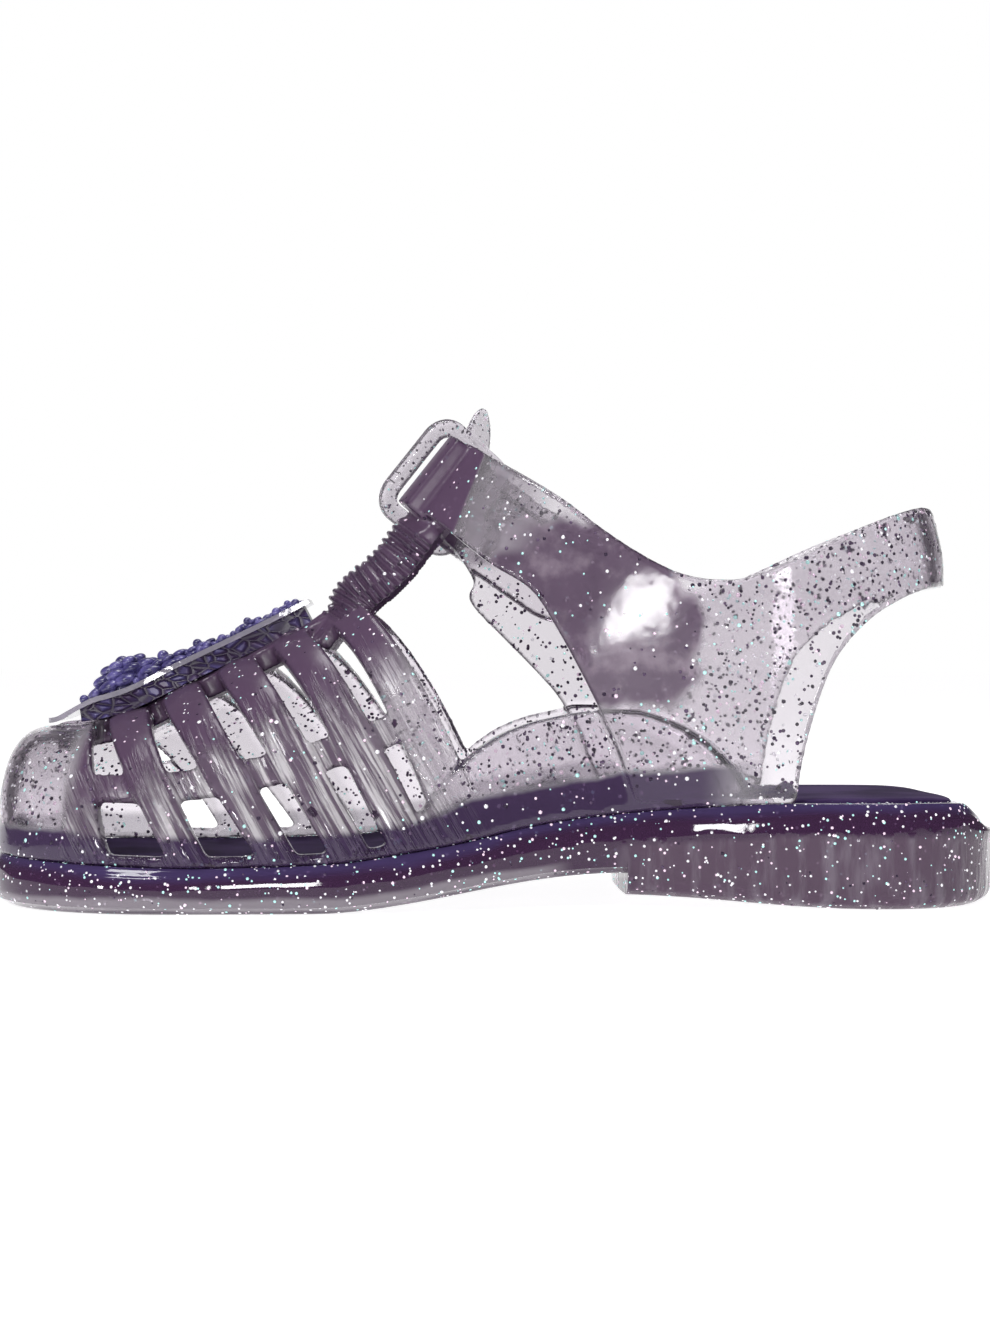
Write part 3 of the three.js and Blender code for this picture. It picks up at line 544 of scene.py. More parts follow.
def build_sole():
    def tuck(s):
        return HEEL_TUCK * smooth(0.66, 0.7, s)

    def lift(s):
        return BREAST_LIFT * (1 - smooth(0.6, 0.86, s))

    def plate_ring(row):
        def inset(s):
            return row["inset"] + row["round"] * heel_rounding(s) + row["tuck"] * tuck(s)

        def height(s):
            level = lerp(rim_height(s), plate_under(s), row["low"])
            return level + row["rise"] - row["drop"] * heel_rounding(s)

        return inset, height

    def block_ring(row):
        return lambda s: np.full_like(s, row["inset"]), lambda s: row["rise"] + row["lift"] * lift(s)

    def rings(rows, last, make):
        rows = refined(rows, last, 4)
        return [make({name: rows[name][k] for name in rows}) for k in range(len(rows["inset"]))]

    body = make_object("sole_pvc", ring_stack(rings(PLATE_RINGS, RIM_RING, plate_ring)))
    block_rings = rings(BLOCK_RINGS, BLOCK_WALL_RING, block_ring)
    heel = make_object("heel_block", ring_stack(block_rings, BLOCK_FRONT - 0.03, 1.0, 60))
    breast_x = float(along(BLOCK_FRONT)) + BREAST_BULGE
    turns = np.linspace(-1, 1, 25)
    front = np.stack([breast_x - BREAST_BULGE * (1 - turns**2), turns * BALL_WIDTH / 2], axis=1)
    shape = np.vstack([front, [[LENGTH, BALL_WIDTH / 2], [LENGTH, -BALL_WIDTH / 2]]])
    cutter = make_object("cutter", prism(shape, "z", -1, HEEL_HEIGHT))
    cut(heel, cutter, "INTERSECT")
    cut(body, heel, "UNION")
    return body


def prism(outline_points, axis, low, high):
    """A closed upright prism over an outline, along z, or along y for a side view given in x and z."""
    count = len(outline_points)
    a, b = outline_points[:, 0], outline_points[:, 1]
    ends = [stack(a, b, h) if axis == "z" else stack(a, h, b) for h in (low, high)]
    faces = [tuple(range(count)), tuple(range(2 * count - 1, count - 1, -1))]
    for k in range(count):
        n = (k + 1) % count
        faces.append((k, n, n + count, k + count))
    return np.concatenate(ends), faces


def cut(obj, other, operation):
    """Joins or cuts one object with another, which is then removed."""
    modify(obj, "BOOLEAN", operation=operation, object=other, solver="MANIFOLD")
    bpy.data.objects.remove(other)
    return obj


# Vamp


def vamp_table():
    ends = {
        "foot": [0, CAP_FOOT],
        "spine": [CAP_TIP_SPINE, CAP_SPINE],
        "lean": [1, CAP_LEAN],
        "bar": [CAP_BAR, CAP_BAR],
    }
    rows = {name: np.concatenate([ends[name], STRAPS[name]]) for name in ends}
    rows["at"] = angle_of(rows["foot"])
    return rows


VAMP = vamp_table()
CAP_ANGLE = float(angle_of(CAP_FOOT))
RIDGE = math.pi / 2
PAST_RIDGE = 0.06


def toe_share(angle):
    return 1 - smooth(0, CAP_ANGLE, np.abs(angle))


def vamp_point(angle, turn):
    place = column(VAMP, "spine", np.abs(angle))
    lean = column(VAMP, "lean", np.abs(angle))
    toe = toe_share(angle)
    foot = outline(angle, SOLE_EDGE - TOE_REACH * toe)
    foot_z = rim_height(share_of(angle)) + GAP
    ridge_x = along(place)
    ridge_z = column(SPINE, "height", place) * INSTEP_HEIGHT
    across = np.sign(np.cos(turn)) * np.abs(np.cos(turn)) ** lerp(SECTION_ACROSS, TOE_SECTION, toe)
    up = np.sin(turn) ** lerp(SECTION_UP, TOE_SECTION, toe)
    back = lean * (1 - across) + (1 - lean) * up
    foot_x, foot_y = foot[..., 0], foot[..., 1]
    return stack(foot_x + (ridge_x - foot_x) * back, foot_y * across, foot_z + (ridge_z - foot_z) * up)


def vamp_face(angle, turn, offset):
    step = 0.01
    angle, turn = np.broadcast_arrays(np.asarray(angle, float), np.asarray(turn, float))
    sideways = vamp_point(angle + step, turn) - vamp_point(angle - step, turn)
    up = vamp_point(angle, turn + step) - vamp_point(angle, np.maximum(turn - step, 0))
    point = vamp_point(angle, turn)
    away = point - stack(point[..., 0] + 12, 0, 8)
    return moved_out(point, up, sideways, away, offset)


def grid(rows, cols):
    return np.meshgrid(np.linspace(0, 1, rows), np.linspace(0, 1, cols), indexing="ij")


def cap_solids():
    u, v = grid(70, 60)
    angle, turn = lerp(-0.01, CAP_ANGLE, u), v * (RIDGE + PAST_RIDGE)
    return [shell(vamp_face, side * angle, turn) for side in (1, -1)]


def strap_solids():
    u, v = grid(60, 13)
    solids = []
    for k in range(len(STRAPS["foot"])):
        for side in (1, -1):
            turn = u * (RIDGE + PAST_RIDGE)
            middle = side * float(angle_of(STRAPS["foot"][k]))
            width = lerp(STRAPS["low"][k], STRAPS["high"][k], u) * BALL_WIDTH
            near = vamp_point(middle + 0.02 + 0 * u, turn) - vamp_point(middle - 0.02 + 0 * u, turn)
            per_angle = np.maximum(np.abs(near[..., 0]) / 0.04, 8)
            angle = middle + (v - 0.5) * width / per_angle
            crowned = STRAP_RISE + CROWN * (1 - (2 * v - 1) ** 2)
            solids.append(shell(vamp_face, angle, turn, crowned, -WALL - STRAP_SINK))
    return solids


def bar_solids():
    u, v = grid(90, 4)
    angle = lerp(CAP_ANGLE * 0.9, float(angle_of(STRAPS["foot"][-1])), u)
    ridge = column(SPINE, "height", column(VAMP, "spine", angle)) * INSTEP_HEIGHT
    rise = ridge - rim_height(share_of(angle))
    turn = np.arcsin(column(VAMP, "bar", angle) + (v - 0.5) * BAR_WIDTH / rise)
    return [shell(vamp_face, side * angle, turn, -BAR_SINK, -BAR_SINK - BAR_WALL) for side in (1, -1)]


def spine_solid():
    u, v = grid(90, 12)
    place = lerp(SPINE["at"][0], SPINE_END, u)
    width = SPINE_WIDTH * lerp(0.6, 1, smooth(0.08, 0.14, place))
    z = column(SPINE, "height", place) * INSTEP_HEIGHT - SPINE_CROWN * (2 * v - 1) ** 2
    y = (v - 0.5) * width
    return slab(stack(along(place), y, z + SPINE_RISE), stack(along(place), y, z - WALL - SPINE_CROWN))


def band_solid():
    u, v = grid(260, 4)
    end = float(angle_of(BAND_END))
    angle = lerp(-end, end, u)
    z = rim_height(share_of(angle)) + v * BAND_HEIGHT
    sheets = []
    for extra in BAND_INSETS:
        p = outline(angle, SOLE_EDGE + extra - TOE_REACH * toe_share(angle))
        sheets.append(stack(p[..., 0], p[..., 1], z))
    return slab(*sheets)


def hump_solids():
    u, v = grid(90, 24)
    share = lerp(HUMP["at"][0], HUMP["at"][-1], u)
    foot = rim_height(share) + GAP
    top = np.maximum(column(HUMP, "height", share) * INSTEP_HEIGHT, foot + BAND_HEIGHT)
    z = lerp(foot, top, v)
    solids = []
    for side in (1, -1):
        sheets = []
        for extra in (0, HUMP_WALL):
            p = outline(side * angle_of(share), HUMP_INSET + extra + HUMP_LEAN * (z - foot))
            sheets.append(stack(p[..., 0], p[..., 1], z))
        solids.append(slab(*sheets))
    return solids


# Ankle wall and straps

SLOPE = math.radians(INSTEP_SLOPE)
STRAP_UP = np.array([math.cos(SLOPE), 0, math.sin(SLOPE)])
STRAP_OUT = np.array([-math.sin(SLOPE), 0, math.cos(SLOPE)])
INSTEP = np.array([float(along(INSTEP_PLACE)), 0, INSTEP_CENTRE * STRAP_HEIGHT])
MIDDLE_X = float(along(ANKLE_MIDDLE))


def ankle_half(z):
    return column(ANKLE_LEVELS, "half", z / STRAP_HEIGHT) * ANKLE_WIDTH


def ankle_front(z):
    return INSTEP[0] + (z - INSTEP[2]) / math.tan(SLOPE)


def ankle_heel(z):
    return along(column(ANKLE_LEVELS, "heel", z / STRAP_HEIGHT))


def ankle_point(turn, z):
    half = ankle_half(z)
    c, s = np.cos(turn), np.sin(turn)
    power = 2 / HEEL_POWER
    front = stack(MIDDLE_X + (MIDDLE_X - ankle_front(z)) * c, -half * s, z)
    back_x = MIDDLE_X + (ankle_heel(z) - MIDDLE_X) * np.abs(c) ** power
    back = stack(back_x, -half * np.sign(s) * np.abs(s) ** power, z)
    return np.where((c <= 0)[..., None], front, back)


def ankle_face(turn, z, offset):
    turn, z = np.broadcast_arrays(np.asarray(turn, float), np.asarray(z, float))
    around = ankle_point(turn + 0.01, z) - ankle_point(turn - 0.01, z)
    up = ankle_point(turn, z + 0.5) - ankle_point(turn, z - 0.5)
    point = ankle_point(turn, z)
    away = stack(point[..., 0] - along(0.7), point[..., 1], 0)
    return moved_out(point, around, up, away, offset)


def ankle_turn(x, z, side):
    share = np.where(
        x <= MIDDLE_X,
        (x - MIDDLE_X) / (MIDDLE_X - ankle_front(z)),
        np.clip((x - MIDDLE_X) / (ankle_heel(z) - MIDDLE_X), 0, 1) ** (HEEL_POWER / 2),
    )
    return side * np.arccos(np.clip(share, -1, 1))


def side_outline(front_rows):
    top, low, front = spline(TOP_EDGE, 90), spline(LOW_EDGE, 80), spline(front_rows, 80)
    past = np.array([STRAP_OUT[0], STRAP_OUT[2]]) * 16
    return np.vstack([[top[0] + past], top, low, front, [front[-1] + past]])


def ankle_objects():
    low, high = float(rim_height(0.78)) + GAP, STRAP_HEIGHT * 1.17
    objects = []
    for name, rows, side, reach in (
        ("ankle_inner", INNER_FRONT_EDGE, 1, (-BALL_WIDTH, 1)),
        ("ankle_outer", OUTER_FRONT_EDGE, -1, (-1, BALL_WIDTH)),
    ):
        u, v = grid(150, 60)
        turn = side * lerp(-0.2, math.pi + 0.2, u) + 0.0003
        z = lerp(low, high, v)
        wall = make_object(name, shell(ankle_face, turn, z))
        cutter = make_object("cutter", prism(side_outline(rows), "y", *reach))
        objects.append(cut(wall, cutter, "INTERSECT"))
    return objects


def instep_point(y, w, out):
    half = float(ankle_half(INSTEP[2]))
    fall = (MIDDLE_X - INSTEP[0]) * (1 - np.sqrt(1 - (y / half) ** 2)) * math.sin(SLOPE)
    point = INSTEP + np.asarray(w)[..., None] * STRAP_UP + (out - WALL / 2 - fall)[..., None] * STRAP_OUT
    point[..., 1] = y
    return point


def sleeve_solid():
    u, v = grid(40, 24)
    y, w = (u - 0.5) * SLEEVE_LENGTH, (v - 0.5) * STRAP_WIDTH
    return shell(instep_point, y, w, SLEEVE_DEPTH / 2, -SLEEVE_DEPTH / 2)


def tbar_solid():
    u, v = grid(240, 24)
    path = spline(TBAR, 240)
    tangent = unit(np.gradient(path, axis=0))
    ribbed = np.clip((u - 0.22) / 0.7, 0, 1)
    rib = RIB_HEIGHT * np.abs(np.sin(ribbed * TBAR_RIBS * math.pi))
    sag = TBAR_DROP * (2 * v - 1) ** 2 * (0.35 + 0.65 * smooth(0, 0.3, u))
    y = (v - 0.5) * TBAR_WIDTH
    sheets = []
    for deep, share in ((0, 1), (TBAR_THICKNESS, 0)):
        drop = sag + deep - rib * share
        x = path[:, None, 0] + tangent[:, None, 1] * drop
        z = path[:, None, 1] - tangent[:, None, 0] * drop
        sheets.append(stack(x, y, z))
    return slab(*sheets)


def strap_end_solid():
    u, v = grid(60, 24)
    fall = math.radians(STRAP_END_FALL)
    start_x = float(along(STRAP_END_AT)) - STRAP_END_LEAD
    start_z = STRAP_END_HEIGHT * STRAP_HEIGHT + STRAP_END_LEAD * math.tan(fall)
    s = u * STRAP_END_LENGTH
    tip = np.clip((STRAP_END_LENGTH - s) / STRAP_TIP, 0, 1)
    w = (v - 0.5) * STRAP_WIDTH * (0.12 + 0.88 * np.sqrt(1 - (1 - tip) ** 2))
    x = start_x + s * math.cos(fall) + w * math.sin(fall)
    z = start_z - s * math.sin(fall) + w * math.cos(fall)
    turn = ankle_turn(x, z, -1)
    return shell(ankle_face, turn, z, WALL + 0.2, -0.4)


# Buckle ring


def ring_frame():
    tilt = math.radians(RING_TILT)
    across = np.array([0, math.cos(tilt), 0]) - STRAP_OUT * math.sin(tilt)
    out = np.cross(STRAP_UP, across)
    out /= np.linalg.norm(out)
    if out @ STRAP_OUT < 0:
        out = -out
    first = INSTEP + STRAP_OUT * RING_STAND
    first[1] = RING_SIDE
    return first + across * RING_LENGTH / 2, across, out


def ring_solids(rows=160, sides=20):
    centre, across, out = ring_frame()
    half_a, half_b, corner = RING_LENGTH / 2, RING_WIDTH / 2, RING_CORNER
    path = []
    for ca, cb, start in (
        (half_a - corner, -half_b + corner, -90),
        (half_a - corner, half_b - corner, 0),
        (-half_a + corner, half_b - corner, 90),
        (-half_a + corner, -half_b + corner, 180),
    ):
        for turn in np.radians(start + np.linspace(0, 90, 12)):
            path.append((ca + corner * math.cos(turn), cb + corner * math.sin(turn)))
    path = np.array(path + path[:1])
    lengths = np.concatenate([[0], np.cumsum(np.linalg.norm(np.diff(path, axis=0), axis=1))])
    at = np.linspace(0, lengths[-1], rows, endpoint=False)
    points = np.stack([np.interp(at, lengths, path[:, k]) for k in (0, 1)], axis=1)
    tangent = unit(np.roll(points, -1, axis=0) - np.roll(points, 1, axis=0))
    bar = RING_BAR / 2
    turn = np.linspace(0, 2 * math.pi, sides, endpoint=False)
    r = bar * np.sign(np.cos(turn)) * np.abs(np.cos(turn)) ** 0.75
    h = bar * RING_FLATNESS * np.sign(np.sin(turn)) * np.abs(np.sin(turn)) ** 0.75
    a = points[:, None, 0] + tangent[:, None, 1] * r
    b = points[:, None, 1] - tangent[:, None, 0] * r
    h = np.broadcast_to(h, a.shape)
    verts = centre + a[..., None] * across + b[..., None] * STRAP_UP + h[..., None] * out
    faces = []
    for i in range(rows):
        for j in range(sides):
            n, m = (i + 1) % rows, (j + 1) % sides
            faces.append((i * sides + j, n * sides + j, n * sides + m, i * sides + m))
    u, v = grid(24, 13)
    lean = math.radians(TAB_LEAN)
    half = TAB_WIDTH / 2 * np.sqrt(np.clip(1 - u**1.6, 0, 1)) + 0.15
    edge = 0.5 + 0.4 * (1 - (2 * v - 1) ** 2)
    sheets = []
    for side in (1, -1):
        lift = side * (edge * (1 - 0.5 * u))
        run = u * TAB_LENGTH
        sheets.append(
            centre
            + ((v - 0.5) * 2 * half)[..., None] * across
            + (half_b + run * math.cos(lean) - lift * math.sin(lean))[..., None] * STRAP_UP
            + (run * math.sin(lean) + lift * math.cos(lean))[..., None] * out
        )
    return [(verts.reshape(-1, 3), faces), slab(*sheets)]


# Ornament


def ridge_point(place, y, out):
    def z(at):
        return column(SPINE, "height", at) * INSTEP_HEIGHT

    rise = (z(place + 0.01) - z(place - 0.01)) / (0.02 * LENGTH)
    return stack(along(place), y, z(place)) + unit(stack(-rise, 0, 1)) * np.asarray(out, float)[..., None]


PLATE_FROM = 0.045
PLATE_TO = 0.322
PLATE_LIFTED = 0.11
BED_FROM = 0.085
BED_TO = 0.315
BED_LOW = SPINE_RISE + GAP
BED_SUNK = 0.7
PLATE_LOW = BED_LOW + BED_THICKNESS + GAP


def plate_low(place):
    return lerp(GAP + 0.1, PLATE_LOW, smooth(PLATE_FROM, PLATE_LIFTED, place))


def plate_half(t, margin):
    front = np.sqrt(1 - (1 - np.clip(t / 0.3, 0, 1)) ** 2)
    back = lerp(1, 0.5, smooth(0.35, 1, t))
    return np.maximum(PLATE_WIDTH / 2 * front * back - margin, 0.4)


def layer_solid(start, end, margin, low, high):
    u, v = grid(100, 16)
    place = lerp(start, end, u)
    t = (place - PLATE_FROM) / (PLATE_TO - PLATE_FROM)
    y = (2 * v - 1) * plate_half(t, margin)
    return slab(ridge_point(place, y, high(place)), ridge_point(place, y, low(place)))


FLOWERS = table(
    "at size height",
    (0.136, 1.15, 1.1),
    (0.212, 0.625, 0.55),
    (0.262, 0.5, 0.45),
    (0.302, 0.4, 0.34),
    (0.178, 0.85, 0.74),
)
FLOWER_NAMES = ("flower_front", "flower_middle", "flower_rear", "flower_last")


def ellipsoid(centre, axes, rows=14, cols=20):
    """A closed egg shape from its centre and three half axes."""
    verts = [centre + axes[2]]
    for i in range(1, rows):
        theta = math.pi * i / rows
        for j in range(cols):
            phi = 2 * math.pi * j / cols
            ring = math.cos(phi) * axes[0] + math.sin(phi) * axes[1]
            verts.append(centre + math.sin(theta) * ring + math.cos(theta) * axes[2])
    verts.append(centre - axes[2])
    last = len(verts) - 1
    faces = []
    for j in range(cols):
        n = (j + 1) % cols
        faces.append((0, 1 + j, 1 + n))
        faces.append((last, last - cols + n, last - cols + j))
        for i in range(rows - 2):
            a, b = 1 + i * cols, 1 + (i + 1) * cols
            faces.append((a + j, b + j, b + n, a + n))
    return np.array(verts), faces


# Tiers of a flower's petals: how many, and their distance out, length, width, height and turn as shares
PETAL_TIERS = table(
    "count out length width lift phase",
    (9, 0.66, 0.34, 0.26, 0.16, 0.0),
    (8, 0.5, 0.28, 0.22, 0.42, 0.5),
    (6, 0.3, 0.24, 0.19, 0.66, 0.2),
)


def flower_solids(k):
    size, height = float(FLOWERS["size"][k]), float(FLOWERS["height"][k])
    radius = FLOWER_RADIUS * size
    reach = radius / LENGTH
    at = float(FLOWERS["at"][k])

    def seat(place):
        return ridge_point(np.array(place), 0, float(plate_low(place)) + PLATE_THICKNESS + 0.05)

    back, ahead = seat(at - reach), seat(at + reach)
    x_axis = (ahead - back) / np.linalg.norm(ahead - back)
    y_axis = np.array([0.0, 1.0, 0.0])
    z_axis = np.cross(x_axis, y_axis)
    foot = (back + ahead) / 2
    tall = FLOWER_HEIGHT * height
    heart = (x_axis * radius * 0.75, y_axis * radius * 0.7, z_axis * tall * 0.6)
    solids = [ellipsoid(foot, heart, 12, 24)]
    for row in range(3 if k == 0 else 2):
        count, out, length, width, lift, phase = (float(PETAL_TIERS[name][row]) for name in PETAL_TIERS)
        for p in range(int(count)):
            turn = 2 * math.pi * (p + phase) / count + RNG.normal(0, 0.08)
            away = math.cos(turn) * x_axis + math.sin(turn) * y_axis
            side = np.cross(z_axis, away)
            centre = foot + away * radius * out + z_axis * tall * lift
            tilt = away * 0.92 + z_axis * (0.5 * lift - 0.2)
            petal = (tilt * radius * length, side * radius * width, z_axis * tall * 0.2)
            solids.append(ellipsoid(centre, petal, 10, 16))
    bead = 0.13 * radius + 0.25
    pearl = (x_axis * bead, y_axis * bead, z_axis * bead)
    solids.append(ellipsoid(foot + z_axis * (tall - bead), pearl, 12, 18))
    return solids


def bead_solids(count=90):
    """Small beads sown over the plate between the flowers."""
    solids = []
    for _ in range(count):
        place = RNG.uniform(0.088, 0.31)
        t = (place - PLATE_FROM) / (PLATE_TO - PLATE_FROM)
        y = RNG.uniform(-1, 1) * (float(plate_half(t, 0)) - 0.9)
        radius = RNG.uniform(0.4, 0.85)
        centre = ridge_point(np.array(place), y, float(plate_low(place)) + PLATE_THICKNESS + radius * 0.5)
        solids.append(ellipsoid(centre, np.eye(3) * radius, 8, 12))
    return solids


# Looks


class Net:
    """A tree of shader nodes, with short ways to add a node and get its output back."""

    def __init__(self, owner):
        owner.use_nodes = True
        self.nodes, self.links = owner.node_tree.nodes, owner.node_tree.links
        self.nodes.clear()

    def fill(self, node, sockets):
        """Sets a node's sockets to values, or links them to other nodes' outputs."""
        for name, value in sockets.items():
            if isinstance(value, bpy.types.NodeSocket):
                self.links.new(value, node.inputs[name])
            else:
                node.inputs[name].default_value = value

    def add(self, kind, sockets, **settings):
        node = self.nodes.new("ShaderNode" + kind)
        for name, value in settings.items():
            setattr(node, name, value)
        self.fill(node, sockets)
        return node

    def surface(self, sockets, **ends):
        """A shader and the output that it goes to."""
        shader = self.add("BsdfPrincipled", sockets)
        self.add("OutputMaterial", {"Surface": shader.outputs["BSDF"], **ends})
        return shader

    def coords(self):
        return self.add("TexCoord", {}).outputs["Object"]

    def masked(self, source, start, end):
        """A soft step of a value, from 0 at its start to 1 at its end, which may be the lower of the two."""
        sockets = {"Value": source, "From Min": start, "From Max": end}
        return self.add("MapRange", sockets, interpolation_type="SMOOTHSTEP").outputs["Result"]

    def dotted(self, source, vector):
        """The component of a vector along a given one."""
        return self.add("VectorMath", {0: source, 1: vector}, operation="DOT_PRODUCT").outputs["Value"]

    def maths(self, operation, *values):
        """A math node on linked values and numbers."""
        return self.add("Math", dict(enumerate(values)), operation=operation).outputs["Value"]

    def product(self, first, *others):
        for value in others:
            first = self.maths("MULTIPLY", first, value)
        return first

    def flipped(self, value):
        return self.maths("SUBTRACT", 1, value)

    def shifted(self, value, other, share):
        """A value plus a share of another."""
        return self.maths("MULTIPLY_ADD", other, share, value)

    def zones(self, bounds, measures):
        """Products of soft steps. A zone's rows name a measure, and where its step starts and ends."""
        return {
            name: self.product(*(self.masked(measures[measure], start, end) for measure, start, end in rows))
            for name, rows in bounds.items()
        }

    def noise(self, vector, scale, detail=2):
        return self.add("TexNoise", {"Vector": vector, "Scale": scale, "Detail": detail}).outputs["Fac"]

    def grained(self, coords, vectors, detail):
        """Noise drawn out by a vector for each of its axes."""
        axes = {axis: self.dotted(coords, vector) for axis, vector in zip("XYZ", vectors)}
        return self.noise(self.add("CombineXYZ", axes).outputs["Vector"], 1, detail)

    def bump(self, height, strength, distance, **under):
        """The normal of a bump, over another where one is given."""
        sockets = {"Height": height, "Strength": strength, "Distance": distance, **under}
        return self.add("Bump", sockets).outputs["Normal"]

    def tinted(self, amount, light, dark):
        """A colour between two by an amount; either may be a colour or a linked socket."""
        return self.add("Mix", {0: amount, 6: light, 7: dark}, data_type="RGBA").outputs[2]

    def curve(self, x, heights):
        """A height in metres over the place along the shoe, from millimetres at shares of its length."""
        share = self.maths("MULTIPLY_ADD", x, 1 / (LENGTH * MM), 0.5)
        node = self.add("FloatCurve", {"Value": share})
        points = node.mapping.curves[0].points
        top = max(height for _, height in heights) * 1.01
        for k, (at, height) in enumerate(heights):
            if k < 2:
                points[k].location = (at, height / top)
            else:
                points.new(at, height / top)
        node.mapping.update()
        return self.product(node.outputs["Value"], top * MM)


CURVE_STATIONS = np.linspace(0, 1, 14)


def rim_line():
    return [(float(s), float(rim_height(np.array(s)))) for s in CURVE_STATIONS]


def under_line():
    return [(float(s), max(0.02, float(plate_under(s)))) for s in CURVE_STATIONS]


# Tint through the depth of the clear plastic, and its density per metre
ABSORB = (0.55, 0.45, 0.56, 1)
PVC_DENSITY = 110
HARD_DENSITY = 160
CLEAR = (0.88, 0.86, 0.885, 1)
# Mauve of thick plastic at the T-bar, and painted shade on the near side of the ridge
MAUVE_AND_RIDGE_SHADE = (0.115, 0.068, 0.125, 1)
# A painted dark reflection on the inner ankle panel, mottled between a darker and a paler shade
REFLECTION_DARK = (0.17, 0.12, 0.18, 1)
REFLECTION_DARK_PALE = (0.36, 0.29, 0.36, 1)
# A painted reflection of the violet insole at the foot of the hump
INSOLE_REFLECTION_VIOLET = (0.075, 0.045, 0.11, 1)
# Painted dark outlines on sharp edges
PAINTED_EDGE_SHADE = (0.04, 0.02, 0.05, 1)
HINGE_GREY = (0.5, 0.46, 0.51, 1)
# Painted shade and highlight along the grooves of the cage's straps
STREAK_SHADE = (0.2, 0.15, 0.21, 1)
STREAK_HIGHLIGHT = (0.85, 0.82, 0.85, 1)
SOLE_VIOLET = (0.085, 0.055, 0.17, 1)
SOLE_DEEP = (0.065, 0.025, 0.075, 1)
SOLE_MAUVE = (0.115, 0.062, 0.115, 1)
SOLE_STREAK = (0.22, 0.17, 0.23, 1)
SOLE_LIP = (0.42, 0.37, 0.43, 1)


def clear_plastic(name, colour, roughness=0.04, density=PVC_DENSITY):
    """Clear plastic, tinted through its depth. Gives back its parts, so that a piece can add to them."""
    material = bpy.data.materials.new(name)
    net = Net(material)
    tint = net.add("VolumeAbsorption", {"Color": ABSORB, "Density": density})
    shader = net.surface(
        {"Base Color": colour, "Roughness": roughness, "IOR": 1.45, "Transmission Weight": 1.0},
        Volume=tint.outputs["Volume"],
    )
    coords = net.coords()
    split = net.add("SeparateXYZ", {"Vector": coords})
    return material, net, shader, coords, {axis: split.outputs[axis] for axis in "XYZ"}


# Directions in the side view: square to the vamp's ridge, ahead of the instep strap, and back over the cage
RIDGE_NORMAL, RIDGE_SHIFT = (-0.479, 0, 1), -0.0571
BEFORE_STRAP = (-0.93, 0, 0.366)
BEHIND_CAGE = (1, 0, 0.57)
# The two axes of the painted dark reflection on the inner ankle panel, per metre, and how far each is shifted
PAINTED_REFLECTION_AXES = (((40, 0, -30), 0.79), ((45, 0, 60), -3.27))
STREAK_GRAIN = ((40, 0, -69), (0, 60, 0), (1290, 0, 750))
HEEL_GRAIN = ((500, 0, 0), (0, 500, 0), (0, 0, 90))
# Zones of the upper and the sole: a measure in metres, and where its soft step starts and ends
UPPER_ZONES = {
    # Near side of the ridge, which gets painted shade
    "ridge": (
        ("ridge", -0.0195, -0.0105),
        ("X", -0.0645, -0.0605),
        ("X", -0.004, -0.016),
        ("Y", 0.0075, 0.0045),
    ),
    "tbar": (("before", 0.026, 0.0267), ("Z", 0.0405, 0.0425)),
    "hinge": (("before", 0.012, 0.0205), ("Z", 0.052, 0.054)),
    # Where the painted dark reflection lies on the inner ankle panel
    "painted_reflection": (("painted_reflection", 1.15, 0.65), ("Y", 0.004, -0.004)),
    # Near side of the cage, which gets painted highlight and shade along its grooves
    "cage": (
        ("ridge", -0.007, -0.012),
        ("X", -0.0635, -0.062),
        ("behind", 0.008, -0.006),
        ("Y", 0.002, -0.002),
    ),
    # Where the painted reflection of the violet insole lies, at the hump's foot
    "foot": (("over_rim", 0.0052, 0.0036), ("X", 0.042, 0.03)),
    "outer": (("Y", -0.004, 0.004),),
    # Sharp edges, which get painted dark outlines
    "corner": (("sharpness", 0.515, 0.56),),
}
SOLE_ZONES = {
    "deep": (("under_rim", 0.0004, 0.0022),),
    "block": (("under_rim", 0.0042, 0.0056), ("X", 0.014, 0.024)),
    "lip": (("over_floor", 0.0001, 0.0008), ("over_floor", 0.0028, 0.0018), ("X", 0.012, 0.006)),
}


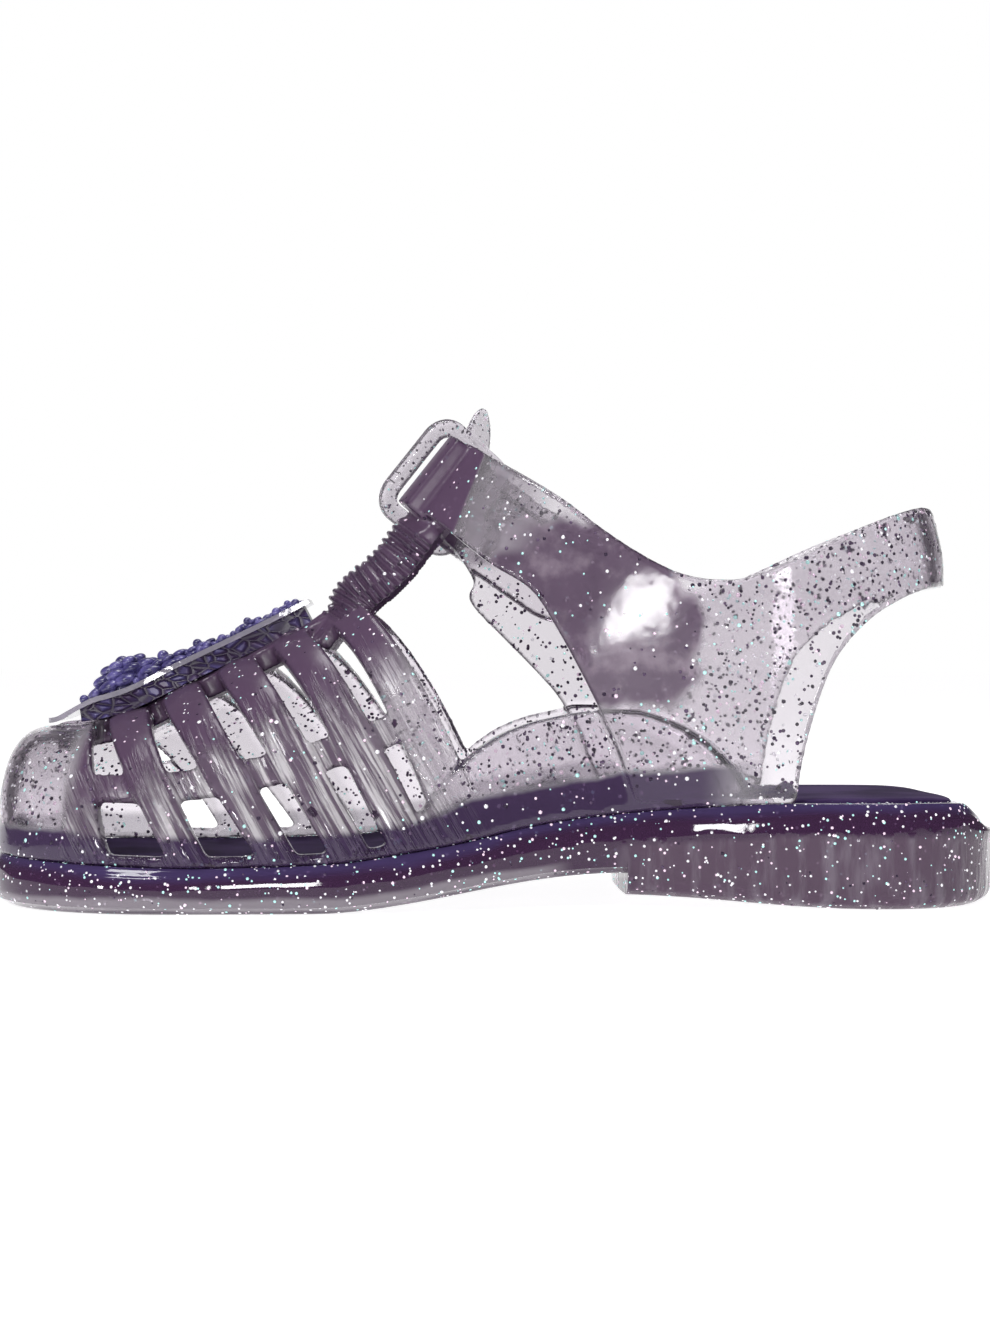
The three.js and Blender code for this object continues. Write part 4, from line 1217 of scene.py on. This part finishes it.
def upper_material():
    """Clear PVC of the upper: mauve at the ridge, T-bar and sleeve, with painted shade on the ridge's near
    side; a painted dark reflection on the inner ankle panel;
    a painted reflection of the violet insole at the hump's foot; painted dark outlines on sharp edges; and
    lengthwise grooves on the cage's straps, with painted highlight and shade along them."""
    material, net, shader, coords, measures = clear_plastic("clear_pvc", CLEAR)
    wobble = net.maths("SUBTRACT", net.noise(coords, 110, 3), 0.5)
    mottle = net.masked(net.noise(coords, 230, 4), 0.42, 0.72)
    streaks = net.masked(net.grained(coords, STREAK_GRAIN, 4), 0.44, 0.62)
    waist = net.masked(measures["X"], -0.014, -0.002)
    over_rim = net.maths("SUBTRACT", measures["Z"], net.curve(measures["X"], rim_line()))
    reach = [net.maths("POWER", net.maths("ADD", net.dotted(coords, axis), by), 2) for axis, by in PAINTED_REFLECTION_AXES]
    measures |= {
        "ridge": net.shifted(net.maths("ADD", net.dotted(coords, RIDGE_NORMAL), RIDGE_SHIFT), wobble, 0.012),
        "before": net.dotted(coords, BEFORE_STRAP),
        "behind": net.dotted(coords, BEHIND_CAGE),
        "painted_reflection": net.shifted(net.maths("ADD", *reach), wobble, 1.9),
        "over_rim": net.shifted(net.shifted(over_rim, wobble, 0.003), waist, -0.0017),
        "sharpness": net.add("NewGeometry", {}).outputs["Pointiness"],
    }
    zone = net.zones(UPPER_ZONES, measures)
    cage, painted_reflection = zone["cage"], zone["painted_reflection"]
    dark = net.maths("MAXIMUM", zone["ridge"], zone["tbar"])
    foot = net.product(zone["foot"], net.flipped(net.product(zone["outer"], 0.75)))
    hinge = net.product(zone["hinge"], net.flipped(net.product(mottle, 0.6)))
    layers = (
        # Painted shade and highlight along the cage's grooves
        (cage, net.tinted(streaks, STREAK_SHADE, STREAK_HIGHLIGHT), 0.5),
        # Painted dark reflection on the inner ankle panel
        (painted_reflection, net.tinted(mottle, REFLECTION_DARK, REFLECTION_DARK_PALE), 0.55),
        (hinge, HINGE_GREY, 0.34),
        # Painted reflection of the violet insole at the hump's foot, weaker on the outer side
        (foot, INSOLE_REFLECTION_VIOLET, 0.6),
        # Mauve of thick plastic at the T-bar, and painted shade on the ridge's near side
        (dark, MAUVE_AND_RIDGE_SHADE, 0.78),
        # Painted dark outlines where the mesh is sharp
        (zone["corner"], PAINTED_EDGE_SHADE, 0.6),
    )
    colour, cloudy = CLEAR, 0
    for amount, tint, cloud in layers:
        colour = net.tinted(amount, colour, tint)
        cloudy = net.maths("MAXIMUM", cloudy, net.product(amount, cloud))
    matt = net.maths("MAXIMUM", net.product(dark, 0.24), net.product(painted_reflection, 0.045))
    normal = net.bump(net.product(streaks, cage), 0.55, 0.0005)
    looks = {
        "Base Color": colour,
        "Roughness": net.maths("ADD", matt, 0.05),
        "Transmission Weight": net.flipped(net.maths("ADD", cloudy, 0.02)),
        "Normal": net.bump(net.noise(coords, 200), 0.12, 0.0005, Normal=normal),
    }
    net.fill(shader, looks)
    return material


def sole_material():
    """Clear PVC of the sole, cloudy with depth: violet under its rim, deep purple below, mauve with upright
    flow lines on the heel block, and a clear lip round the lower edge."""
    material, net, shader, coords, measures = clear_plastic("sole_pvc", CLEAR)
    x, z = measures["X"], measures["Z"]
    wobble = net.maths("SUBTRACT", net.noise(coords, 60, 3), 0.5)
    lines = net.masked(net.grained(coords, HEEL_GRAIN, 3), 0.42, 0.7)
    under_rim = net.maths("SUBTRACT", net.curve(x, rim_line()), z)
    over_floor = net.maths("SUBTRACT", z, net.curve(x, under_line()))
    measures["under_rim"] = net.shifted(under_rim, wobble, 0.0025)
    measures["over_floor"] = net.shifted(over_floor, wobble, 0.002)
    zone = net.zones(SOLE_ZONES, measures)
    colour = net.tinted(zone["deep"], SOLE_VIOLET, SOLE_DEEP)
    colour = net.tinted(zone["block"], colour, net.tinted(lines, SOLE_MAUVE, SOLE_STREAK))
    cloudy = net.maths("MULTIPLY_ADD", net.flipped(zone["lip"]), 0.14, 0.5)
    normal = net.bump(net.product(lines, zone["block"]), 0.3, 0.0004)
    looks = {
        "Base Color": net.tinted(zone["lip"], colour, SOLE_LIP),
        "Transmission Weight": net.flipped(cloudy),
        "Normal": net.bump(net.noise(coords, 110), 0.3, 0.0008, Normal=normal),
    }
    net.fill(shader, looks)
    return material


def hard_material(name, colour, cloudy):
    """Harder clear plastic of the buckle ring and the ornament's plate."""
    material, net, shader, coords, _ = clear_plastic(name, colour, 0.05, HARD_DENSITY)
    normal = net.bump(net.noise(coords, 420), 0.25, 0.0003)
    net.fill(shader, {"Transmission Weight": 1 - cloudy, "Normal": normal})
    return material


def violet(name, dark, light, scale, roughness, specular, coat):
    """Opaque violet PVC with a mottled depth and a fine moulded grain."""
    material = bpy.data.materials.new(name)
    net = Net(material)
    mottle = net.noise(net.coords(), scale, 4)
    looks = {
        "Base Color": net.tinted(net.masked(mottle, 0.35, 0.65), dark, light),
        "Roughness": roughness,
        "Specular IOR Level": specular,
        "Coat Weight": coat,
        "Coat Roughness": 0.08,
        "Normal": net.bump(mottle, 0.2, 0.0003),
    }
    net.surface(looks)
    return material


CELLS_PER_METRE = (420, 420, 800)
# Painted shade in the gaps between the bed's cells
CELL_GAP_SHADE = (0.035, 0.02, 0.055, 1)
CELL_DARK = (0.08, 0.045, 0.11, 1)
CELL_LIGHT = (0.12, 0.1, 0.28, 1)


def cell_material():
    """Moulded cells of the ornament's bed: blue-violet lumps with painted shade in the gaps between them."""
    material = bpy.data.materials.new("bed_violet")
    net = Net(material)
    coords = net.coords()
    scaled = net.add("VectorMath", {0: coords, 1: CELLS_PER_METRE}, operation="MULTIPLY").outputs["Vector"]
    cells = net.add("TexVoronoi", {"Vector": scaled, "Scale": 1}, feature="DISTANCE_TO_EDGE")
    lump = net.masked(cells.outputs["Distance"], 0.02, 0.3)
    fill = net.tinted(net.masked(net.noise(coords, 260, 3), 0.38, 0.62), CELL_DARK, CELL_LIGHT)
    looks = {
        "Base Color": net.tinted(lump, CELL_GAP_SHADE, fill),
        "Roughness": 0.3,
        "Normal": net.bump(lump, 0.8, 0.0005),
    }
    net.surface(looks)
    return material


# Colours of the glitter: two dark ones, which share the first part of the flakes, and three bright ones, each
# with the share of the rest at which it starts. Every flake glows a little, a painted glint that lets the
# bright ones show on dark places
DARK_FLAKES = (0.03, 0.02, 0.04, 1), (0.09, 0.06, 0.11, 1)
BRIGHT_GLOWING_FLAKES = (0, (0.85, 0.84, 0.88, 1)), (0.55, (0.5, 0.85, 0.82, 1)), (0.8, (0.9, 0.7, 0.85, 1))


def glitter_material(name, dark):
    """Foil flakes, each of one colour and glowing a little as a painted glint: dark ones show on clear places
    and bright ones on dark places.
    """
    material = bpy.data.materials.new(name)
    net = Net(material)
    pick = net.add("NewGeometry", {}).outputs["Random Per Island"]
    ramp = net.add("ValToRGB", {"Fac": pick})
    ramp.color_ramp.interpolation = "CONSTANT"
    first, second = ramp.color_ramp.elements
    first.color, second.color = DARK_FLAKES
    second.position = 0.6 * dark
    for start, colour in BRIGHT_GLOWING_FLAKES:
        ramp.color_ramp.elements.new(lerp(dark, 1, start)).color = colour
    colour = ramp.outputs["Color"]
    looks = {
        "Base Color": colour,
        "Metallic": 0.6,
        "Roughness": 0.3,
        # A painted glint: each flake glows in its own colour
        "Emission Color": colour,
        "Emission Strength": 0.6,
    }
    net.surface(looks)
    return material


FLAKE_SIDES = 6
HALF_FLAKE = 0.03


def flakes(name, obj, count, depth_low, depth_high, size):
    """Thin hexagonal flakes inside a clear piece, under random points of its surface."""
    mesh = obj.data
    mesh.calc_loop_triangles()
    tris = np.zeros(len(mesh.loop_triangles) * 3, int)
    mesh.loop_triangles.foreach_get("vertices", tris)
    co = np.zeros(len(mesh.vertices) * 3)
    mesh.vertices.foreach_get("co", co)
    corner = (co.reshape(-1, 3) / MM)[tris.reshape(-1, 3)]
    cross = np.cross(corner[:, 1] - corner[:, 0], corner[:, 2] - corner[:, 0])
    area = np.linalg.norm(cross, axis=1)
    pick = RNG.choice(len(area), count, p=area / area.sum())
    a, b = RNG.random(count), RNG.random(count)
    swap = a + b > 1
    a[swap], b[swap] = 1 - a[swap], 1 - b[swap]
    base = corner[pick, 0] + a[:, None] * (corner[pick, 1] - corner[pick, 0])
    base += b[:, None] * (corner[pick, 2] - corner[pick, 0])
    normal = cross[pick] / area[pick, None]
    depth = np.maximum(RNG.uniform(depth_low, depth_high, count), -0.02)
    centre = base - normal * depth[:, None]
    face = unit(normal + RNG.normal(0, 0.4, (count, 3)) * smooth(0, 0.3, depth)[:, None])
    side = unit(np.cross(face, RNG.normal(0, 1, (count, 3))))
    other = np.cross(face, side)
    radius = size * RNG.uniform(0.6, 1.25, count)
    verts = np.zeros((count, FLAKE_SIDES + 2, 3))
    for k in range(FLAKE_SIDES):
        turn = 2 * math.pi * k / FLAKE_SIDES
        verts[:, k] = centre + radius[:, None] * (math.cos(turn) * side + math.sin(turn) * other)
    verts[:, -2] = centre + face * HALF_FLAKE
    verts[:, -1] = centre - face * HALF_FLAKE
    faces = []
    for first in range(0, count * (FLAKE_SIDES + 2), FLAKE_SIDES + 2):
        for k in range(FLAKE_SIDES):
            here, ahead = first + k, first + (k + 1) % FLAKE_SIDES
            faces += [(here, ahead, first + FLAKE_SIDES), (ahead, here, first + FLAKE_SIDES + 1)]
    mesh = bpy.data.meshes.new(name)
    mesh.from_pydata((verts.reshape(-1, 3) * MM).tolist(), [], faces)
    return placed(name, mesh)


def dress(obj, material, slot, *nodes_replaced):
    obj.data.materials.clear()
    obj.data.materials.append(material)
    shade_smooth(obj)
    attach(obj, "root")
    if nodes_replaced:
        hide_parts(*nodes_replaced)
    return obj


# Studio

ROOM = (0.13, 0.12, 0.135, 1)
WHITE = (1, 1, 1, 1)
FLOOR_GREY = (0.45, 0.45, 0.45, 1)
FLOOR_REACH = 30
# Soft boxes: place and target in metres, size, and power in watts
SOFTBOXES = (
    ("front", (-0.05, -0.62, 0.075), (0.012, -0.02, 0.045), (0.085, 0.06), 0.5),
    ("low_front", (-0.36, -0.42, 0.03), (-0.05, 0, 0.01), (0.035, 0.045), 0.3),
    ("key", (-0.3, -0.45, 0.6), (0.0, 0, 0.03), (0.25, 0.2), 2.5),
    ("top", (0.05, 0.1, 0.8), (0, 0, 0.03), (0.5, 0.25), 3.0),
)


def build_world(scene):
    """A white screen behind the shoe in a dim room, so that edges of clear walls draw dark lines."""
    scene.world = bpy.data.worlds.new("studio")
    net = Net(scene.world)
    around = net.add("TexCoord", {}).outputs["Generated"]
    screen = net.masked(net.dotted(around, (0, 1, -0.12)), 0.74, 0.92)
    bright = net.maths("MAXIMUM", screen, net.add("LightPath", {}).outputs["Is Camera Ray"])
    background = net.add("Background", {"Color": net.tinted(bright, ROOM, WHITE)})
    net.add("OutputWorld", {"Surface": background.outputs["Background"]})


def build_floor():
    mesh = bpy.data.meshes.new("floor")
    corners = [(x * FLOOR_REACH, y * FLOOR_REACH, 0) for x, y in ((-1, -1), (1, -1), (1, 1), (-1, 1))]
    mesh.from_pydata(corners, [], [(0, 1, 2, 3)])
    plane = placed("floor", mesh)
    plane.location.z = -0.0001
    material = bpy.data.materials.new("floor")
    looks = {
        "Base Color": FLOOR_GREY,
        "Roughness": 0.9,
        "Specular IOR Level": 0,
        "Emission Color": WHITE,
        "Emission Strength": 0.93,
    }
    Net(material).surface(looks)
    mesh.materials.append(material)


def build_studio():
    scene = bpy.context.scene
    scene.view_settings.view_transform = "Standard"
    build_world(scene)
    build_floor()
    for name, place, target, size, energy in SOFTBOXES:
        light = bpy.data.lights.new(name, "AREA")
        light.shape = "RECTANGLE"
        light.size, light.size_y = size
        light.energy = energy
        lamp = placed(name, light)
        lamp.location = place
        aim = np.array(target) - np.array(place)
        lamp.rotation_euler = Vector(aim.tolist()).to_track_quat("-Z", "Y").to_euler()


build_studio()

# Pieces

UPPER_VOXEL = 0.4
SMOOTHING = 5
UPPER_TRIANGLES = 190000


def rib_tbar(body):
    """Fine cross ribs on the outer face of the T-bar, on a denser patch of the mesh."""
    path = spline(TBAR, 400)
    run = np.concatenate([[0], np.cumsum(np.linalg.norm(np.diff(path, axis=0), axis=1))])
    along_path = unit(np.gradient(path, axis=0))
    mesh = bmesh.new()
    mesh.from_mesh(body.data)

    def find(points, margin):
        """Which points lie on the bar, and the place along it and path row nearest to each."""
        x, y, z = points.T
        picked = (np.abs(y) < TBAR_WIDTH / 2 + margin) & (x > TBAR_BACK) & (x < 0) & (z > TBAR_LOW)
        rows = np.zeros(len(points), int)
        gap = np.full(len(points), 99.0)
        distance = np.linalg.norm(points[picked][:, None, [0, 2]] - path[None], axis=2)
        rows[picked] = distance.argmin(axis=1)
        gap[picked] = distance.min(axis=1)
        share = run[rows] / run[-1]
        near = gap < TBAR_DROP + TBAR_THICKNESS + margin
        return picked & near & (share > RIBS_FROM) & (share < RIBS_TO), share, rows

    centres = np.array([face.calc_center_median() for face in mesh.faces]) / MM
    chosen, _, _ = find(centres, 1)
    mesh.faces.ensure_lookup_table()
    edges = {edge for face in np.flatnonzero(chosen) for edge in mesh.faces[face].edges}
    bmesh.ops.subdivide_edges(mesh, edges=list(edges), cuts=1, use_grid_fill=True)
    mesh.normal_update()
    points = np.array([vert.co for vert in mesh.verts]) / MM
    normals = np.array([vert.normal for vert in mesh.verts])
    chosen, share, rows = find(points, 0.6)
    outward = np.stack([-along_path[rows, 1], 0 * share, along_path[rows, 0]], axis=1)
    facing = smooth(-0.6, -0.1, (normals * outward).sum(axis=1))
    fade = smooth(RIBS_FROM, RIBS_FROM + RIBS_FADE, share) * (1 - smooth(RIBS_TO - RIBS_FADE, RIBS_TO, share))
    wave = np.abs(np.sin(math.pi * RIB_COUNT * (share - RIBS_FROM) / (RIBS_TO - RIBS_FROM)))
    height = RIB_HEIGHT * fade * facing * (wave - 0.6)
    mesh.verts.ensure_lookup_table()
    for k in np.flatnonzero(chosen):
        mesh.verts[k].co += Vector((normals[k] * height[k] * MM).tolist())
    mesh.to_mesh(body.data)
    mesh.free()


def build_upper():
    solids = [
        *cap_solids(),
        band_solid(),
        *strap_solids(),
        *bar_solids(),
        spine_solid(),
        *hump_solids(),
        sleeve_solid(),
        tbar_solid(),
        strap_end_solid(),
    ]
    body = make_object("upper_pvc", join(solids))
    walls = ankle_objects()
    both = [body, *walls]
    with bpy.context.temp_override(active_object=body, selected_objects=both, selected_editable_objects=both):
        bpy.ops.object.join()
    modify(body, "REMESH", mode="VOXEL", voxel_size=UPPER_VOXEL * MM)
    modify(body, "SMOOTH", factor=0.5, iterations=SMOOTHING)
    rib_tbar(body)
    triangles = sum(len(face.vertices) - 2 for face in body.data.polygons)
    if triangles > UPPER_TRIANGLES:
        modify(body, "DECIMATE", ratio=UPPER_TRIANGLES / triangles)
    return body


def sharpen(obj, degrees=35):
    """Smooth shading that breaks at corners."""
    shade_smooth(obj)
    obj.data.set_sharp_from_angle(angle=math.radians(degrees))


ring_clear = hard_material("ring_clear", (0.8, 0.78, 0.81, 1), 0.15)
plate_clear = hard_material("plate_clear", (0.5, 0.47, 0.56, 1), 0.5)
insole_shades = ((0.04, 0.02, 0.075, 1), (0.075, 0.045, 0.13, 1))
insole_violet = violet("insole_violet", *insole_shades, 90, 0.75, 0.08, 0)
ornament_shades = ((0.035, 0.028, 0.12, 1), (0.13, 0.11, 0.33, 1))
ornament_violet = violet("ornament_violet", *ornament_shades, 500, 0.3, 0.5, 0.4)
glitter = glitter_material("glitter", 0.68)
bright_glowing_glitter = glitter_material("bright_glowing_glitter", 0.08)

upper = dress(build_upper(), upper_material(), "clear_pvc", "upper")
sole = dress(build_sole(), sole_material(), "sole_pvc", "sole")
sharpen(sole)


def insole_edge(s):
    return INSOLE_INSET + 0.3 * heel_rounding(s)


def insole_top(s):
    return rim_height(s) + INSOLE_RISE * smooth(0.6, 0.85, s)


insole_rings = [
    (insole_edge, lambda s: rim_height(s) - RECESS_DEPTH - 0.05),
    (insole_edge, lambda s: insole_top(s) - 0.5),
    (lambda s: insole_edge(s) + 0.15, lambda s: insole_top(s) - 0.15),
    (lambda s: insole_edge(s) + 0.5, insole_top),
]
insole = make_object("insole_sheet", ring_stack(insole_rings))
dress(insole, insole_violet, "insole_pvc", "insole")
sharpen(insole)

ring = make_object("ring_plastic", join(ring_solids()))
modify(ring, "REMESH", mode="VOXEL", voxel_size=0.25 * MM)
modify(ring, "SMOOTH", factor=0.5, iterations=3)
dress(ring, ring_clear, "buckle_plastic", "buckle_ring")


def bed_low(at):
    return 0 * at + BED_LOW - BED_SUNK


def bed_high(at):
    return plate_low(at) + 0.05


def plate_high(at):
    return plate_low(at) + PLATE_THICKNESS


bed = make_object("bed_violet", layer_solid(BED_FROM, BED_TO, BED_MARGIN, bed_low, bed_high))
dress(bed, cell_material(), "ornament_violet", "ornament_bed")
sharpen(bed)
plate = make_object("plate_clear", layer_solid(PLATE_FROM, PLATE_TO, 0, plate_low, plate_high))
dress(plate, plate_clear, "ornament_clear", "ornament_plate")
sharpen(plate)
for k, name in enumerate(FLOWER_NAMES):
    flower = make_object(name + "_petals", join(flower_solids(k)), weld=False)
    dress(flower, ornament_violet, "ornament_violet", "ornament_" + name)
beads = make_object("ornament_beads", join(bead_solids() + flower_solids(len(FLOWER_NAMES))), weld=False)
dress(beads, ornament_violet, "ornament_violet")

# Glitter: name, piece, count, least and greatest depth, size, look and slot
for name, piece, count, low, high, size, look, slot in (
    ("upper_glitter", upper, 7000, -0.25, 0.9, 0.28, glitter, "clear_pvc"),
    ("surface_glitter", upper, 2200, -1, 0, 0.19, bright_glowing_glitter, "clear_pvc"),
    ("sole_glitter", sole, 11500, -0.05, 0.05, 0.2, bright_glowing_glitter, "sole_pvc"),
    ("ring_glitter", ring, 350, 0.1, 0.8, 0.2, glitter, "buckle_plastic"),
):
    dress(flakes(name, piece, count, low, high, size), look, slot)
